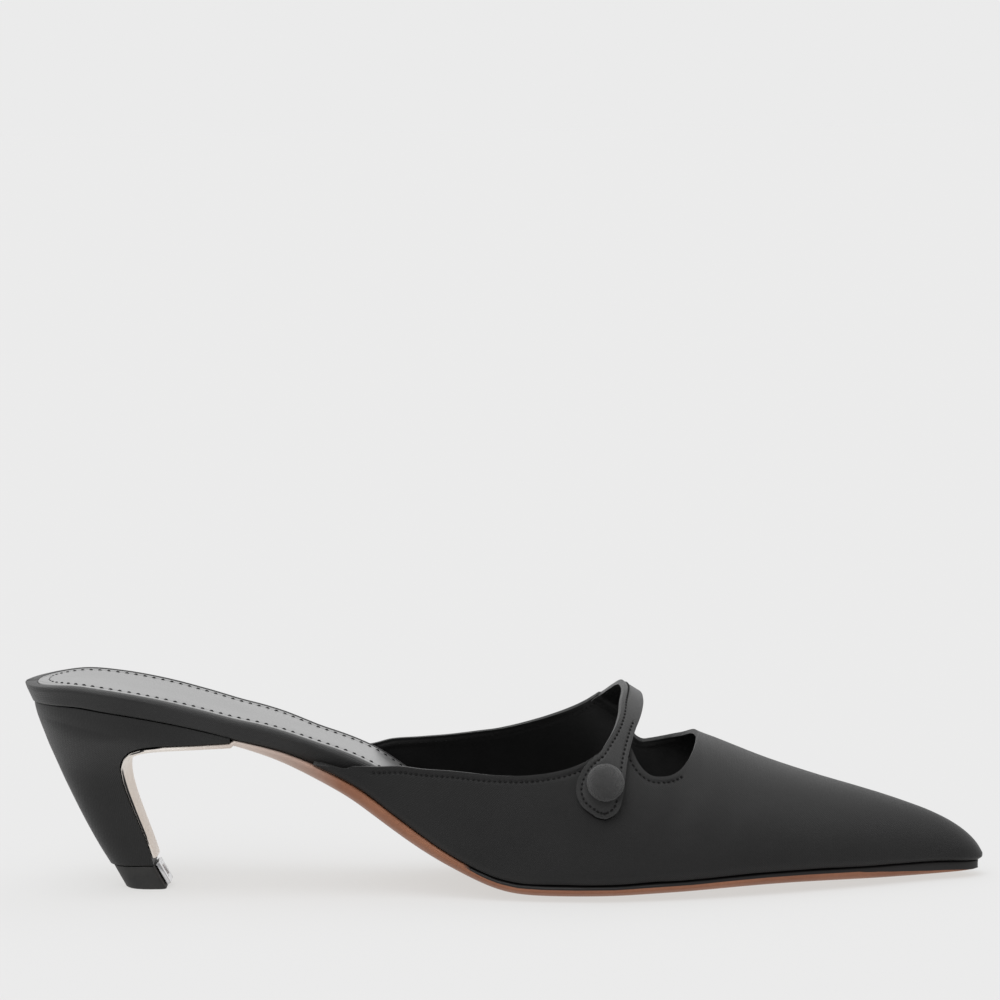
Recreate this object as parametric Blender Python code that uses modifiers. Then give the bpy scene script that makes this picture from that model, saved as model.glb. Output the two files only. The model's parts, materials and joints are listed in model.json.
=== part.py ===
# A kitten heel mule for the right foot: pointed toe, open back, cut-out instep with one buttoned strap.
# X runs from the heel to the toe, Y towards the inner side of the foot, Z up from the floor.

import math

import bmesh
import bpy
import numpy as np

# Sizes of the whole shoe, in metres: widths are over the sole, heights from the floor.
LENGTH = 0.268
BALL_WIDTH = 0.076
SEAT_WIDTH = 0.0506
HEEL_HEIGHT = 0.0537
INSTEP_HEIGHT = 0.0546

# The last: how far it swells over the seam, where it is widest, and its round toe.
LASTING_BULGE = 0.001
SEAM_TO_WIDEST = 0.003
TOE_WIDEST_DROP = 0.0017
TOE_DROP_START_SHARE = 0.75
NOSE_LENGTH = 0.008

# Upper, strap and button. Angles run up the side of the last, in degrees.
UPPER_WALL = 0.0015
STRAP_THICKNESS = 0.0018
STRAP_ROOT = 55.0
STRAP_RAMP = 50.0
BUTTON_WIDTH = 0.0104
BUTTON_RISE = 0.0034
BUTTON_ALONG_SHARE = 0.6005
BUTTON_ACROSS = -64.3

# Footbed and the sock that lies in its recess.
SEAT_ROUND = 0.031
BED_BACK_THICKNESS = 0.0056
BED_FRONT_SHARE = 0.985
BED_SLANT = 0.0013
BED_BACK_LEAN = 0.0021
BED_SOFT_EDGE = 0.0014
BED_LEDGE = 0.0036
SOCK_FRONT_SHARE = 0.93
SOCK_THICKNESS = 0.0009
SOCK_PROUD = 0.0002
RECESS_REACH = 0.004

# Outsole: upright painted edge, rise of the toe, and the leather flap down the heel's breast.
SOLE_EDGE = 0.0011
TOE_SPRING = 0.0022
TOE_SPRING_START_SHARE = 0.76
FLAP_START_SHARE = 0.4
FLAP_END_SHARE = 0.215

# Top piece of the heel with its metal plate; along values are shares of LENGTH at the floor.
TIP_HEIGHT = 0.0065
TIP_WIDTH = 0.0136
TIP_BACK_SHARE = 0.1010
TIP_FRONT_SHARE = 0.1455
TIP_LEAN_SHARE = 0.0132
TIP_CORNER = 0.0012
TIP_EDGE = 0.0004
PLATE_HEIGHT = 0.0068
PLATE_WIDTH = 0.0092
PLATE_THICKNESS = 0.0012
PLATE_OFF_FLOOR = 0.0008
PLATE_WINDOW_WIDTH_SHARE = 0.56
PLATE_WINDOW_HEIGHT_SHARE = 0.5

# Clearance between neighbouring pieces.
FIT = 0.0003

# Stations of the outline: along as a share of LENGTH, half widths as shares of BALL_WIDTH.
SOLE_OUTLINE = [
    # along, lateral, medial
    (0.215, 0.288, 0.277),
    (0.270, 0.277, 0.258),
    (0.310, 0.279, 0.246),
    (0.350, 0.289, 0.242),
    (0.390, 0.310, 0.254),
    (0.440, 0.366, 0.303),
    (0.490, 0.424, 0.366),
    (0.550, 0.474, 0.437),
    (0.605, 0.495, 0.487),
    (0.665, 0.474, 0.502),
    (0.710, 0.442, 0.484),
    (0.760, 0.390, 0.430),
    (0.815, 0.320, 0.350),
    (0.865, 0.248, 0.264),
    (0.910, 0.177, 0.190),
    (0.950, 0.114, 0.122),
    (0.975, 0.084, 0.086),
    (1.000, 0.063, 0.063),
]

# Height of the line where upper and sole meet, as a share of HEEL_HEIGHT.
FEATHER_LINE = [
    # along, height
    (0.215, 0.826),
    (0.248, 0.784),
    (0.271, 0.748),
    (0.302, 0.680),
    (0.350, 0.553),
    (0.381, 0.436),
    (0.412, 0.322),
    (0.443, 0.222),
    (0.473, 0.147),
    (0.495, 0.108),
    (0.522, 0.088),
    (0.600, 0.086),
    (0.635, 0.093),
    (0.700, 0.102),
    (0.757, 0.114),
    (0.820, 0.112),
    (0.865, 0.104),
    (0.950, 0.095),
    (1.000, 0.078),
]

# Depth of the rounded underside below the sole's painted edge, in shares of SOLE_EDGE.
SOLE_CROWN = [
    # along, depth
    (0.215, 1.50),
    (0.270, 2.60),
    (0.350, 3.40),
    (0.410, 3.40),
    (0.470, 2.80),
    (0.520, 2.70),
    (0.700, 2.70),
    (0.865, 2.40),
    (0.950, 2.00),
    (1.000, 1.10),
]

# Ridge of the last: height as a share of INSTEP_HEIGHT, and how square the section is.
LAST_RIDGE = [
    # along, height, power
    (0.300, 1.920, 2.30),
    (0.350, 1.800, 2.30),
    (0.430, 1.610, 2.30),
    (0.504, 1.410, 2.25),
    (0.560, 1.236, 2.25),
    (0.597, 1.100, 2.25),
    (0.623, 1.000, 2.25),
    (0.638, 0.952, 2.25),
    (0.660, 0.883, 2.25),
    (0.683, 0.815, 2.20),
    (0.705, 0.753, 2.20),
    (0.726, 0.711, 2.15),
    (0.746, 0.672, 2.15),
    (0.787, 0.592, 2.10),
    (0.831, 0.522, 2.05),
    (0.873, 0.459, 2.00),
    (0.914, 0.394, 2.00),
    (0.955, 0.316, 1.95),
    (0.978, 0.258, 1.95),
    (0.988, 0.216, 1.95),
    (0.996, 0.161, 1.95),
    (1.000, 0.112, 1.95),
]

# Top edge of each quarter and of the cut-out, as an angle up the side of the last.
# 0 is the widest line and 90 is the ridge.
LATERAL_EDGE = [
    # along, angle
    (0.302, 0.0),
    (0.330, 0.4),
    (0.345, 1.6),
    (0.362, 3.6),
    (0.392, 8.0),
    (0.416, 10.8),
    (0.444, 14.2),
    (0.490, 18.8),
    (0.536, 22.8),
    (0.560, 26.0),
    (0.583, 31.4),
    (0.591, 34.3),
    (0.604, 39.6),
    (0.616, 44.2),
    (0.624, 46.4),
    (0.629, 45.3),
    (0.634, 41.1),
    (0.638, 38.6),
    (0.642, 37.0),
    (0.650, 35.8),
    (0.662, 37.3),
    (0.669, 39.2),
    (0.675, 41.7),
    (0.681, 45.4),
    (0.686, 50.0),
    (0.692, 57.0),
    (0.696, 64.0),
    (0.699, 71.0),
    (0.701, 79.0),
    (0.702, 84.0),
    (0.703, 90.0),
]
MEDIAL_EDGE = [
    # along, angle
    (0.302, 0.0),
    (0.330, 0.4),
    (0.355, 2.9),
    (0.381, 7.6),
    (0.413, 12.3),
    (0.442, 16.3),
    (0.474, 20.8),
    (0.495, 23.6),
    (0.517, 26.7),
    (0.538, 30.0),
    (0.551, 32.6),
    (0.564, 35.8),
    (0.577, 40.0),
    (0.588, 44.8),
    (0.598, 51.0),
    (0.604, STRAP_ROOT),
    (0.6332, STRAP_ROOT),
    (0.6360, 45.0),
    (0.6400, 38.4),
    (0.6470, 37.6),
    (0.6570, 40.2),
    (0.671, 46.1),
    (0.683, 53.2),
    (0.691, 59.5),
    (0.697, 68.0),
    (0.7005, 77.0),
    (0.702, 84.0),
    (0.703, 90.0),
]

# The strap from its sewn inner end to its round buttoned end.
# across is the angle over the last, 90 at the inner side, 0 on the ridge, negative to the outer side.
STRAP_RUN = [
    # across, rear edge along, front edge along
    (90.0 - STRAP_ROOT, 0.6042, 0.6330),
    (28.0, 0.6108, 0.6348),
    (18.0, 0.6170, 0.6370),
    (8.0, 0.6202, 0.6385),
    (0.0, 0.6214, 0.6396),
    (-8.0, 0.6212, 0.6402),
    (-15.0, 0.6200, 0.6402),
    (-23.5, 0.6176, 0.6386),
    (-31.5, 0.6160, 0.6352),
    (-38.0, 0.6130, 0.6311),
    (-43.5, 0.6088, 0.6280),
    (-49.5, 0.6022, 0.6246),
    (-54.5, 0.5956, 0.6224),
    (-58.0, 0.5875, 0.6213),
    (-60.5, 0.5818, 0.6206),
    (-63.5, 0.5768, 0.6199),
    (-66.5, 0.5733, 0.6186),
    (-69.0, 0.5722, 0.6170),
    (-71.0, 0.5737, 0.6149),
    (-72.5, 0.5768, 0.6122),
    (-73.7, 0.5822, 0.6085),
    (-74.6, 0.5900, 0.6035),
]

# The heel in sections that fan out from the tip to the seat.
# along as a share of LENGTH, heights of the rise from the top piece to the seat, half width of SEAT_WIDTH.
HEEL_SECTIONS = [
    # back along, back height, front along, front height, half width, seat share
    (0.0850, 0.000, 0.1320, 0.000, 0.134, 0.0),
    (0.0740, 0.105, 0.1268, 0.101, 0.138, 0.0),
    (0.0615, 0.239, 0.1178, 0.236, 0.148, 0.0),
    (0.0485, 0.393, 0.1076, 0.393, 0.166, 0.0),
    (0.0370, 0.539, 0.1012, 0.519, 0.198, 0.0),
    (0.0290, 0.650, 0.1000, 0.605, 0.252, 0.0),
    (0.0225, 0.742, 0.1040, 0.670, 0.315, 0.0),
    (0.0180, 0.815, 0.1120, 0.720, 0.372, 0.1),
    (0.0140, 0.878, 0.1260, 0.749, 0.418, 0.3),
    (0.0112, 0.928, 0.1490, 0.763, 0.446, 0.5),
    (0.0098, 0.963, 0.1830, 0.770, 0.462, 0.75),
    (0.0092, 0.983, 0.2170, 0.780, 0.468, 0.95),
    (0.0090, 0.990, 0.2170, 0.801, 0.470, 1.0),
]

# The footbed: height of its underside as a share of HEEL_HEIGHT, thickness of BED_BACK_THICKNESS.
BED_RUN = [
    # along, underside, thickness
    (0.000, 1.000, 0.86),
    (0.048, 1.002, 1.00),
    (0.094, 0.972, 1.07),
    (0.138, 0.932, 1.05),
    (0.183, 0.880, 0.99),
    (0.220, 0.828, 0.97),
    (0.250, 0.787, 1.00),
    (0.271, 0.754, 1.00),
    (0.302, 0.686, 1.08),
    (0.332, 0.611, 1.29),
    (0.350, 0.559, 1.43),
    (0.373, 0.475, 1.64),
    (0.390, 0.410, 1.68),
    (0.440, 0.238, 1.37),
    (0.495, 0.114, 0.88),
    (0.550, 0.110, 0.58),
    (1.000, 0.110, 0.52),
]

# Half widths of the footbed as shares of SEAT_WIDTH, behind the quarters.
BED_OUTLINE = [
    # along, lateral, medial
    (0.000, 0.500, 0.500),
    (0.110, 0.500, 0.500),
    (0.150, 0.493, 0.490),
    (0.190, 0.478, 0.468),
    (0.230, 0.458, 0.436),
    (0.270, 0.434, 0.396),
    (0.302, 0.401, 0.354),
]

# The button's dome from its middle to its rolled edge and back under, as shares of radius and rise.
BUTTON_PROFILE = [
    # out, up
    (0.0, 1.0),
    (0.35, 0.96),
    (0.62, 0.84),
    (0.82, 0.64),
    (0.95, 0.38),
    (1.0, 0.18),
    (0.95, 0.04),
    (0.84, 0.0),
    (0.0, 0.0),
]
BUTTON_SIDES = 28

# Where sections are taken along each piece, closer together where it turns faster.
SOLE_STATIONS = [0.2215, 0.235, 0.25, 0.27, 0.29, 0.31, 0.33, 0.35, 0.37, 0.39, 0.41, 0.43]
SOLE_STATIONS += [0.45, 0.47, 0.49, 0.51, 0.535, 0.57, 0.61, 0.65, 0.69, 0.73, 0.77, 0.81, 0.85]
SOLE_STATIONS += [0.88, 0.91, 0.935, 0.955, 0.97, 0.98, 0.987, 0.992, 0.9952]
BED_STATIONS = [0.0006, 0.004, 0.009, 0.016, 0.026, 0.038, 0.052, 0.07, 0.092, 0.12, 0.155]
BED_STATIONS += [0.19, 0.23, 0.27, 0.3, 0.32, 0.345, 0.37, 0.395, 0.42, 0.445, 0.47, 0.5, 0.54]
BED_STATIONS += [0.6, 0.66, 0.71, 0.76, 0.81, 0.86, 0.9, 0.935, 0.955, 0.966, 0.975, 0.982]
SOCK_SHARES = [0.0008, 0.005, 0.012, 0.024, 0.04, 0.062, 0.09, 0.13, 0.18, 0.24, 0.3, 0.34, 0.375]
SOCK_SHARES += [0.41, 0.445, 0.48, 0.52, 0.57, 0.64, 0.72, 0.8, 0.87, 0.92, 0.955, 0.98]
UPPER_STATIONS = [0.309, 0.322, 0.337, 0.355, 0.375, 0.4, 0.425, 0.45, 0.475, 0.5, 0.525, 0.548]
UPPER_STATIONS += [0.566, 0.58, 0.592, 0.604, 0.613, 0.622, 0.6285, 0.6332, 0.636, 0.639, 0.643]
UPPER_STATIONS += [0.649, 0.657, 0.665, 0.673, 0.681, 0.687, 0.692, 0.6955, 0.6985, 0.701, 0.703]
UPPER_STATIONS += [0.71, 0.722, 0.74, 0.76, 0.785, 0.812, 0.84, 0.866, 0.89, 0.912, 0.932, 0.95]
UPPER_STATIONS += [0.964, 0.976, 0.985, 0.9915, 0.996, 0.9988, 1.0]


def smooth(rows, column, at):
    """Reads one column of a table at a place between its rows, with no overshoot."""
    places = [row[0] for row in rows]
    values = [row[column] for row in rows]
    steps = np.diff(places)
    slopes = np.diff(values) / steps
    turns = [slopes[0]]
    for before, after, left, right in zip(slopes, slopes[1:], steps, steps[1:]):
        if before * after <= 0:
            turns.append(0.0)
            continue
        first = 2 * right + left
        second = right + 2 * left
        turns.append((first + second) / (first / before + second / after))
    turns.append(slopes[-1])
    at = min(max(at, places[0]), places[-1])
    index = min(int(np.searchsorted(places, at, side="right")) - 1, len(steps) - 1)
    share = (at - places[index]) / steps[index]
    square = share * share
    cube = square * share
    return (
        (2 * cube - 3 * square + 1) * values[index]
        + (cube - 2 * square + share) * steps[index] * turns[index]
        + (3 * square - 2 * cube) * values[index + 1]
        + (cube - square) * steps[index] * turns[index + 1]
    )


def along_to_x(along):
    return (along - 0.5) * LENGTH


def nose(along, tip=1.0):
    """Rounds a plan outline off at the toe."""
    reach = NOSE_LENGTH / LENGTH
    share = max(0.0, (along - (tip - reach)) / reach)
    return math.sqrt(max(0.0, 1 - share * share))


def feather(along):
    return smooth(FEATHER_LINE, 1, along) * HEEL_HEIGHT


def side_column(side):
    return 1 if side < 0 else 2


def sole_half(along, side):
    tip = 1 - LASTING_BULGE / LENGTH
    return smooth(SOLE_OUTLINE, side_column(side), along) * BALL_WIDTH * nose(along, tip)


def last_section(along, side):
    """Half width, height of the widest line, rise to the ridge and power of one section of the last."""
    seam = feather(along)
    to_toe = max(0.0, (along - TOE_DROP_START_SHARE) / (1 - TOE_DROP_START_SHARE))
    widest = seam + SEAM_TO_WIDEST - TOE_WIDEST_DROP * to_toe
    ridge = smooth(LAST_RIDGE, 1, along) * INSTEP_HEIGHT
    half = smooth(SOLE_OUTLINE, side_column(side), along) * BALL_WIDTH + LASTING_BULGE
    return half * nose(along), widest, ridge - widest, smooth(LAST_RIDGE, 2, along)


def on_last(along, side, angle):
    """A point of the outer surface: 0 is the widest line, 90 the ridge, below 0 turns in to the seam."""
    half, widest, rise, power = last_section(along, side)
    if angle >= 0:
        turn = math.radians(min(angle, 90.0))
        out = half * max(0.0, math.cos(turn)) ** (2 / power)
        up = rise * max(0.0, math.sin(turn)) ** (2 / power)
        return (along_to_x(along), side * out, widest + up)
    under = min(1.0, -angle / 90.0)
    reach = NOSE_LENGTH / LENGTH
    point_share = max(0.0, (along - (1 - reach)) / reach) ** 2
    inset = LASTING_BULGE * 1.2 * under * under
    drop = widest - feather(along) - FIT
    out = max(0.0, half - inset * (1 - point_share))
    return (along_to_x(along) - inset * point_share, side * out, widest - drop * under)


def bed_top(along):
    under = smooth(BED_RUN, 1, along) * HEEL_HEIGHT
    return under + smooth(BED_RUN, 2, along) * BED_BACK_THICKNESS


def bed_under(along):
    """Underside of the footbed: its own table at the back, on the seam line under the upper."""
    own = smooth(BED_RUN, 1, along) * HEEL_HEIGHT
    if along < SOLE_OUTLINE[0][0]:
        return own
    return feather(along) + FIT


def bed_half(along, side, inset=0.0, front=BED_FRONT_SHARE):
    """Plan half width of the footbed, or of a smaller outline inside it."""
    if along <= BED_OUTLINE[-1][0]:
        half = smooth(BED_OUTLINE, side_column(side), along) * SEAT_WIDTH
    else:
        half = smooth(SOLE_OUTLINE, side_column(side), along) * BALL_WIDTH + LASTING_BULGE
        taper = 1 + 0.25 * min(1.0, max(0.0, (along - 0.66) / 0.1))
        half -= (UPPER_WALL + 1.3 * FIT) * taper
    round_from = inset / LENGTH
    reach = (SEAT_ROUND - inset) / LENGTH
    back = min(1.0, max(0.0, (along - round_from) / reach))
    rounding = math.sqrt(max(0.0, 1 - (1 - back) ** 2))
    return max(0.0, half - inset) * rounding * nose(along, front - inset / LENGTH)


def material(name, colour, roughness, metallic=0.0):
    made = bpy.data.materials.new(name)
    made.use_nodes = True
    shader = made.node_tree.nodes["Principled BSDF"]
    shader.inputs["Base Color"].default_value = (*colour, 1.0)
    shader.inputs["Roughness"].default_value = roughness
    shader.inputs["Metallic"].default_value = metallic
    return made


def mesh_object(name, points, faces, look, collection):
    mesh = bpy.data.meshes.new(name)
    mesh.from_pydata([tuple(point) for point in points], [], faces)
    mesh.validate()
    made = bpy.data.objects.new(name, mesh)
    mesh.materials.append(look)
    collection.objects.link(made)
    return made


def weld(made, within=1e-6):
    """Joins points that meet and turns every face outwards."""
    edit = bmesh.new()
    edit.from_mesh(made.data)
    bmesh.ops.remove_doubles(edit, verts=edit.verts, dist=within)
    bmesh.ops.recalc_face_normals(edit, faces=edit.faces)
    edit.to_mesh(made.data)
    edit.free()


def tube_faces(rows, around):
    """Faces of a closed loft with a polygon at each end."""
    faces = []
    for row in range(rows - 1):
        for step in range(around):
            after = (step + 1) % around
            faces.append(
                (
                    row * around + step,
                    row * around + after,
                    (row + 1) * around + after,
                    (row + 1) * around + step,
                )
            )
    return faces


def strip_cap(start, around):
    """Closes one end of a loft whose section is listed evenly down one side and back up the other."""
    half = around // 2
    faces = []
    for step in range(half - 1):
        left = start + step
        right = start + around - 1 - step
        faces.append((left, left + 1, right - 1, right))
    return faces


def loft(name, sections, look, collection, curved_ends=False):
    """A closed solid through sections of equal count, each listed as two matching halves."""
    around = len(sections[0])
    points = [point for section in sections for point in section]
    faces = tube_faces(len(sections), around)
    last = (len(sections) - 1) * around
    if curved_ends:
        faces += strip_cap(0, around)
        faces += strip_cap(last, around)
    else:
        faces.append(tuple(range(around)))
        faces.append(tuple(range(last, last + around)))
    made = mesh_object(name, points, faces, look, collection)
    weld(made)
    return made


def cut(made, cutter):
    """Takes the cutter's shape out of the piece."""
    step = made.modifiers.new("cut", "BOOLEAN")
    step.operation = "DIFFERENCE"
    step.solver = "EXACT"
    step.object = cutter


def sole_section(x, top, direction, lateral, medial, edge, crown, floor):
    """One cross section of the outsole: flat top, upright painted edge, rounded underside."""
    across = [0.0, 0.3, 0.55, 0.72, 0.83, 0.91, 0.965, 1.0]
    run, fall = direction

    def at(side_width, share, depth):
        height = top - fall * depth
        if floor is not None:
            height = max(height, floor)
        return (x + run * depth, side_width * share, height)

    under = []
    for side_width in (-lateral, medial):
        half = []
        for share in across:
            depth = edge + crown * math.sqrt(max(0.0, 1 - share**3))
            half.append(at(side_width, share, depth))
        under.append(half)
    lateral_half = [at(-lateral, 0.0, 0.0), at(-lateral, 0.5, 0.0), at(-lateral, 0.995, 0.0)]
    lateral_half += list(reversed(under[0]))
    medial_half = [at(medial, 0.0, 0.0), at(medial, 0.5, 0.0), at(medial, 0.995, 0.0)]
    medial_half += list(reversed(under[1]))
    return lateral_half + list(reversed(medial_half))


def heel_height(share):
    """A height on the heel, counted up from the top piece."""
    base = TIP_HEIGHT + FIT
    return base + share * (HEEL_HEIGHT - base)


def heel_front():
    """The heel's breast as points from the tip up and forward to the front of its wings."""
    rows = HEEL_SECTIONS[:-1]
    return [(along_to_x(row[2]), heel_height(row[3]), row[4] * SEAT_WIDTH) for row in rows]


def build_outsole(look, collection):
    """One leather sole: a thin flap down the heel's breast, the waist, and the flat forepart to the toe."""
    front = heel_front()
    above_plate = [low + (high - low) * FLAP_START_SHARE for low, high in zip(front[0], front[1])]
    front[0] = tuple(above_plate)
    sections = []
    for index, (x, height, half) in enumerate(front):
        before = front[max(0, index - 1)]
        after = front[min(len(front) - 1, index + 1)]
        run = after[0] - before[0]
        rise = after[1] - before[1]
        size = math.hypot(run, rise)
        direction = (rise / size, run / size)
        up_share = index / (len(front) - 1)
        start = (x + direction[0] * FIT, height - direction[1] * FIT)
        width = half - FIT
        lateral = width
        medial = width
        if index >= len(front) - 3:
            lateral = min(width, sole_half(FLAP_END_SHARE, -1))
            medial = min(width, sole_half(FLAP_END_SHARE, 1))
        edge = SOLE_EDGE * (0.4 + 0.3 * up_share)
        crown = SOLE_EDGE * (0.8 + 0.6 * up_share**1.5)
        sections.append(
            sole_section(start[0], start[1], direction, lateral, medial, edge, crown, None)
        )
    for along in SOLE_STATIONS:
        top = feather(along)
        to_toe = max(0.0, (along - TOE_SPRING_START_SHARE) / (1 - TOE_SPRING_START_SHARE))
        spring = to_toe**1.4 * TOE_SPRING
        edge = SOLE_EDGE * (0.7 + 1.1 * min(1.0, max(0.0, (along - 0.22) / 0.3)))
        crown = smooth(SOLE_CROWN, 1, along) * SOLE_EDGE
        step = 0.004
        slope = (feather(along + step) - feather(along - step)) / (2 * step * LENGTH)
        lean = min(1.0, max(0.0, (0.45 - along) / 0.1))
        slope *= lean
        size = math.hypot(1.0, slope)
        direction = (slope / size, 1 / size)
        lateral = sole_half(along, -1)
        medial = sole_half(along, 1)
        sections.append(
            sole_section(
                along_to_x(along), top, direction, lateral, medial, edge, crown, spring
            )
        )
    return loft("outsole", sections, look, collection)


def seat_height(along):
    """Top of the heel under the footbed, up to the front of its wings."""
    return smooth(BED_RUN, 1, min(along, FLAP_END_SHARE)) * HEEL_HEIGHT - FIT


def heel_section(row):
    """One fan section of the heel, half round at the back and square at the breast."""
    back_along, back_height, front_along, front_height, half_share, seat_share = row
    back_x = along_to_x(back_along)
    front_x = along_to_x(front_along)
    back_z = heel_height(back_height)
    front_z = heel_height(front_height)
    half = half_share * SEAT_WIDTH
    length = front_x - back_x
    reach = min(0.72 * length, 1.15 * half)
    turns = [0, 14, 28, 42, 56, 70, 82, 90]
    outline = []
    for turn in turns:
        angle = math.radians(turn)
        outline.append((back_x + reach * (1 - math.cos(angle)), half * math.sin(angle)))
    front_half = half * (1 - 0.07 * seat_share)
    for share in (0.35, 0.7, 1.0):
        x = back_x + reach + (length - reach) * share
        outline.append((x, half + (front_half - half) * share))
    outline.append((front_x, 0.5 * front_half))
    outline.append((front_x, 0.0))
    points = []
    for x, y in outline:
        share = (x - back_x) / length
        height = back_z + (front_z - back_z) * share
        along = x / LENGTH + 0.5
        seat = seat_height(along)
        chord_back = seat_height(back_along)
        chord_front = seat_height(front_along)
        bulge = seat - (chord_back + (chord_front - chord_back) * share)
        points.append((x, y, height + bulge * seat_share))
    lateral = [(x, -y, z) for x, y, z in points]
    return lateral + list(reversed(points))


def build_heel(look, collection):
    """The wrapped heel: a slim comma that fans out into a seat with two wings."""
    sections = [heel_section(row) for row in HEEL_SECTIONS]
    top = []
    for x, y, _ in sections[-1]:
        top.append((x, y, seat_height(x / LENGTH + 0.5)))
    sections[-1] = top
    return loft("heel", sections, look, collection, curved_ends=True)


def tip_outline(back_x, front_x, height, half):
    """The top piece's plan: a round back and a flat front with small corners."""
    reach = 0.62 * (front_x - back_x)
    outline = []
    for turn in (0, 18, 36, 54, 72, 90):
        angle = math.radians(turn)
        outline.append((back_x + reach * (1 - math.cos(angle)), half * math.sin(angle), height))
    outline.append((front_x - TIP_CORNER, half, height))
    outline.append((front_x - 0.3 * TIP_CORNER, half - 0.3 * TIP_CORNER, height))
    outline.append((front_x, half - TIP_CORNER, height))
    outline.append((front_x, 0.0, height))
    lateral = [(x, -y, z) for x, y, z in outline]
    return lateral + list(reversed(outline))


def build_tip(look, collection):
    """The rubber top piece that the heel stands on, leaning back with the heel."""
    half = TIP_WIDTH / 2
    levels = [
        (0.0, half - TIP_EDGE, TIP_EDGE),
        (TIP_EDGE, half, 0.0),
        (TIP_HEIGHT, half, 0.0),
    ]
    sections = []
    for height, width, inset in levels:
        lean = TIP_LEAN_SHARE * LENGTH * height / TIP_HEIGHT
        back_x = along_to_x(TIP_BACK_SHARE) - lean + inset
        front_x = along_to_x(TIP_FRONT_SHARE) - lean - inset
        sections.append(tip_outline(back_x, front_x, height, width))
    return loft("heel_tip", sections, look, collection)


def box(name, size, look, collection):
    """A block about the origin."""
    half = [side / 2 for side in size]
    points = [
        (x * half[0], y * half[1], z * half[2])
        for x in (-1, 1)
        for y in (-1, 1)
        for z in (-1, 1)
    ]
    faces = [(0, 1, 3, 2), (4, 6, 7, 5), (0, 4, 5, 1), (2, 3, 7, 6), (0, 2, 6, 4), (1, 5, 7, 3)]
    made = mesh_object(name, points, faces, look, collection)
    weld(made)
    return made


def build_plate(look, collection, cutters):
    """A small metal frame on the front of the top piece, with a shallow window."""
    lean = math.atan2(TIP_LEAN_SHARE * LENGTH, TIP_HEIGHT)
    made = box("heel_tip_plate", (PLATE_THICKNESS, PLATE_WIDTH, PLATE_HEIGHT), look, collection)
    window_size = (
        PLATE_THICKNESS,
        PLATE_WIDTH * PLATE_WINDOW_WIDTH_SHARE,
        PLATE_HEIGHT * PLATE_WINDOW_HEIGHT_SHARE,
    )
    window = box("plate_window", window_size, look, cutters)
    rise = PLATE_OFF_FLOOR + PLATE_HEIGHT / 2 * math.cos(lean)
    face_x = along_to_x(TIP_FRONT_SHARE) - rise * math.tan(lean)
    away = FIT + PLATE_THICKNESS / 2
    centre = (face_x + away * math.cos(lean), 0.0, rise + away * math.sin(lean))
    out = (math.cos(lean) * PLATE_THICKNESS * 0.6, math.sin(lean) * PLATE_THICKNESS * 0.6)
    for piece, shift in ((made, (0.0, 0.0)), (window, out)):
        piece.rotation_euler = (0.0, -lean, 0.0)
        piece.location = (centre[0] + shift[0], 0.0, centre[2] + shift[1])
    cut(made, window)
    return made


def bed_section(along):
    """One cross section of the footbed: sides that lean in to the underside, with softened edges."""
    under = bed_under(along)
    over = bed_top(along)
    halves = []
    ends = max(0.0, 1 - along / 0.1)
    for side in (-1, 1):
        top_half = bed_half(along, side)
        low_half = top_half - BED_SLANT * min(1.0, top_half / (0.3 * SEAT_WIDTH))
        soft = min(BED_SOFT_EDGE, top_half * 0.4)
        outline = [
            (0.0, 0.0),
            (0.5 * low_half, 0.0),
            (low_half - 0.4 * soft, 0.0),
            (low_half, 0.4 * soft),
            (0.5 * (low_half + top_half), 0.5 * (over - under)),
            (top_half, over - under - soft),
            (top_half - 0.25 * soft, over - under - 0.3 * soft),
            (top_half - soft, over - under),
            (0.5 * top_half, over - under),
            (0.0, over - under),
        ]
        half = []
        for out, up in outline:
            lean = BED_BACK_LEAN * ends * (1 - up / (over - under))
            half.append((along_to_x(along) + lean, side * out, under + up))
        halves.append(half)
    return halves[0] + list(reversed(halves[1]))


def build_footbed(look, collection, cutters):
    """The wrapped insole board from the seat to the toe, with a recess for the sock."""
    sections = [bed_section(along) for along in BED_STATIONS]
    made = loft("footbed", sections, look, collection)
    cut(made, build_sock("sock_recess", look, cutters, BED_LEDGE - FIT, 0.0, RECESS_REACH))
    return made


def build_sock(name, look, collection, inset, lift, thickness):
    """The sock lining in its recess, or the cutter that makes the recess."""
    recess = SOCK_THICKNESS + FIT - SOCK_PROUD
    front = SOCK_FRONT_SHARE + (BED_LEDGE - inset) / LENGTH
    sections = []
    start = inset / LENGTH
    reach = front - start
    for share in SOCK_SHARES:
        along = start + share * reach
        floor = bed_top(along) - recess + lift
        halves = []
        for side in (-1, 1):
            half = bed_half(along, side, inset, front + inset / LENGTH)
            outline = [
                (0.0, floor),
                (0.5 * half, floor),
                (half, floor),
                (half, floor + thickness),
                (0.5 * half, floor + thickness),
                (0.0, floor + thickness),
            ]
            halves.append([(along_to_x(along), side * out, height) for out, height in outline])
        sections.append(halves[0] + list(reversed(halves[1])))
    return loft(name, sections, look, collection)


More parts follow.
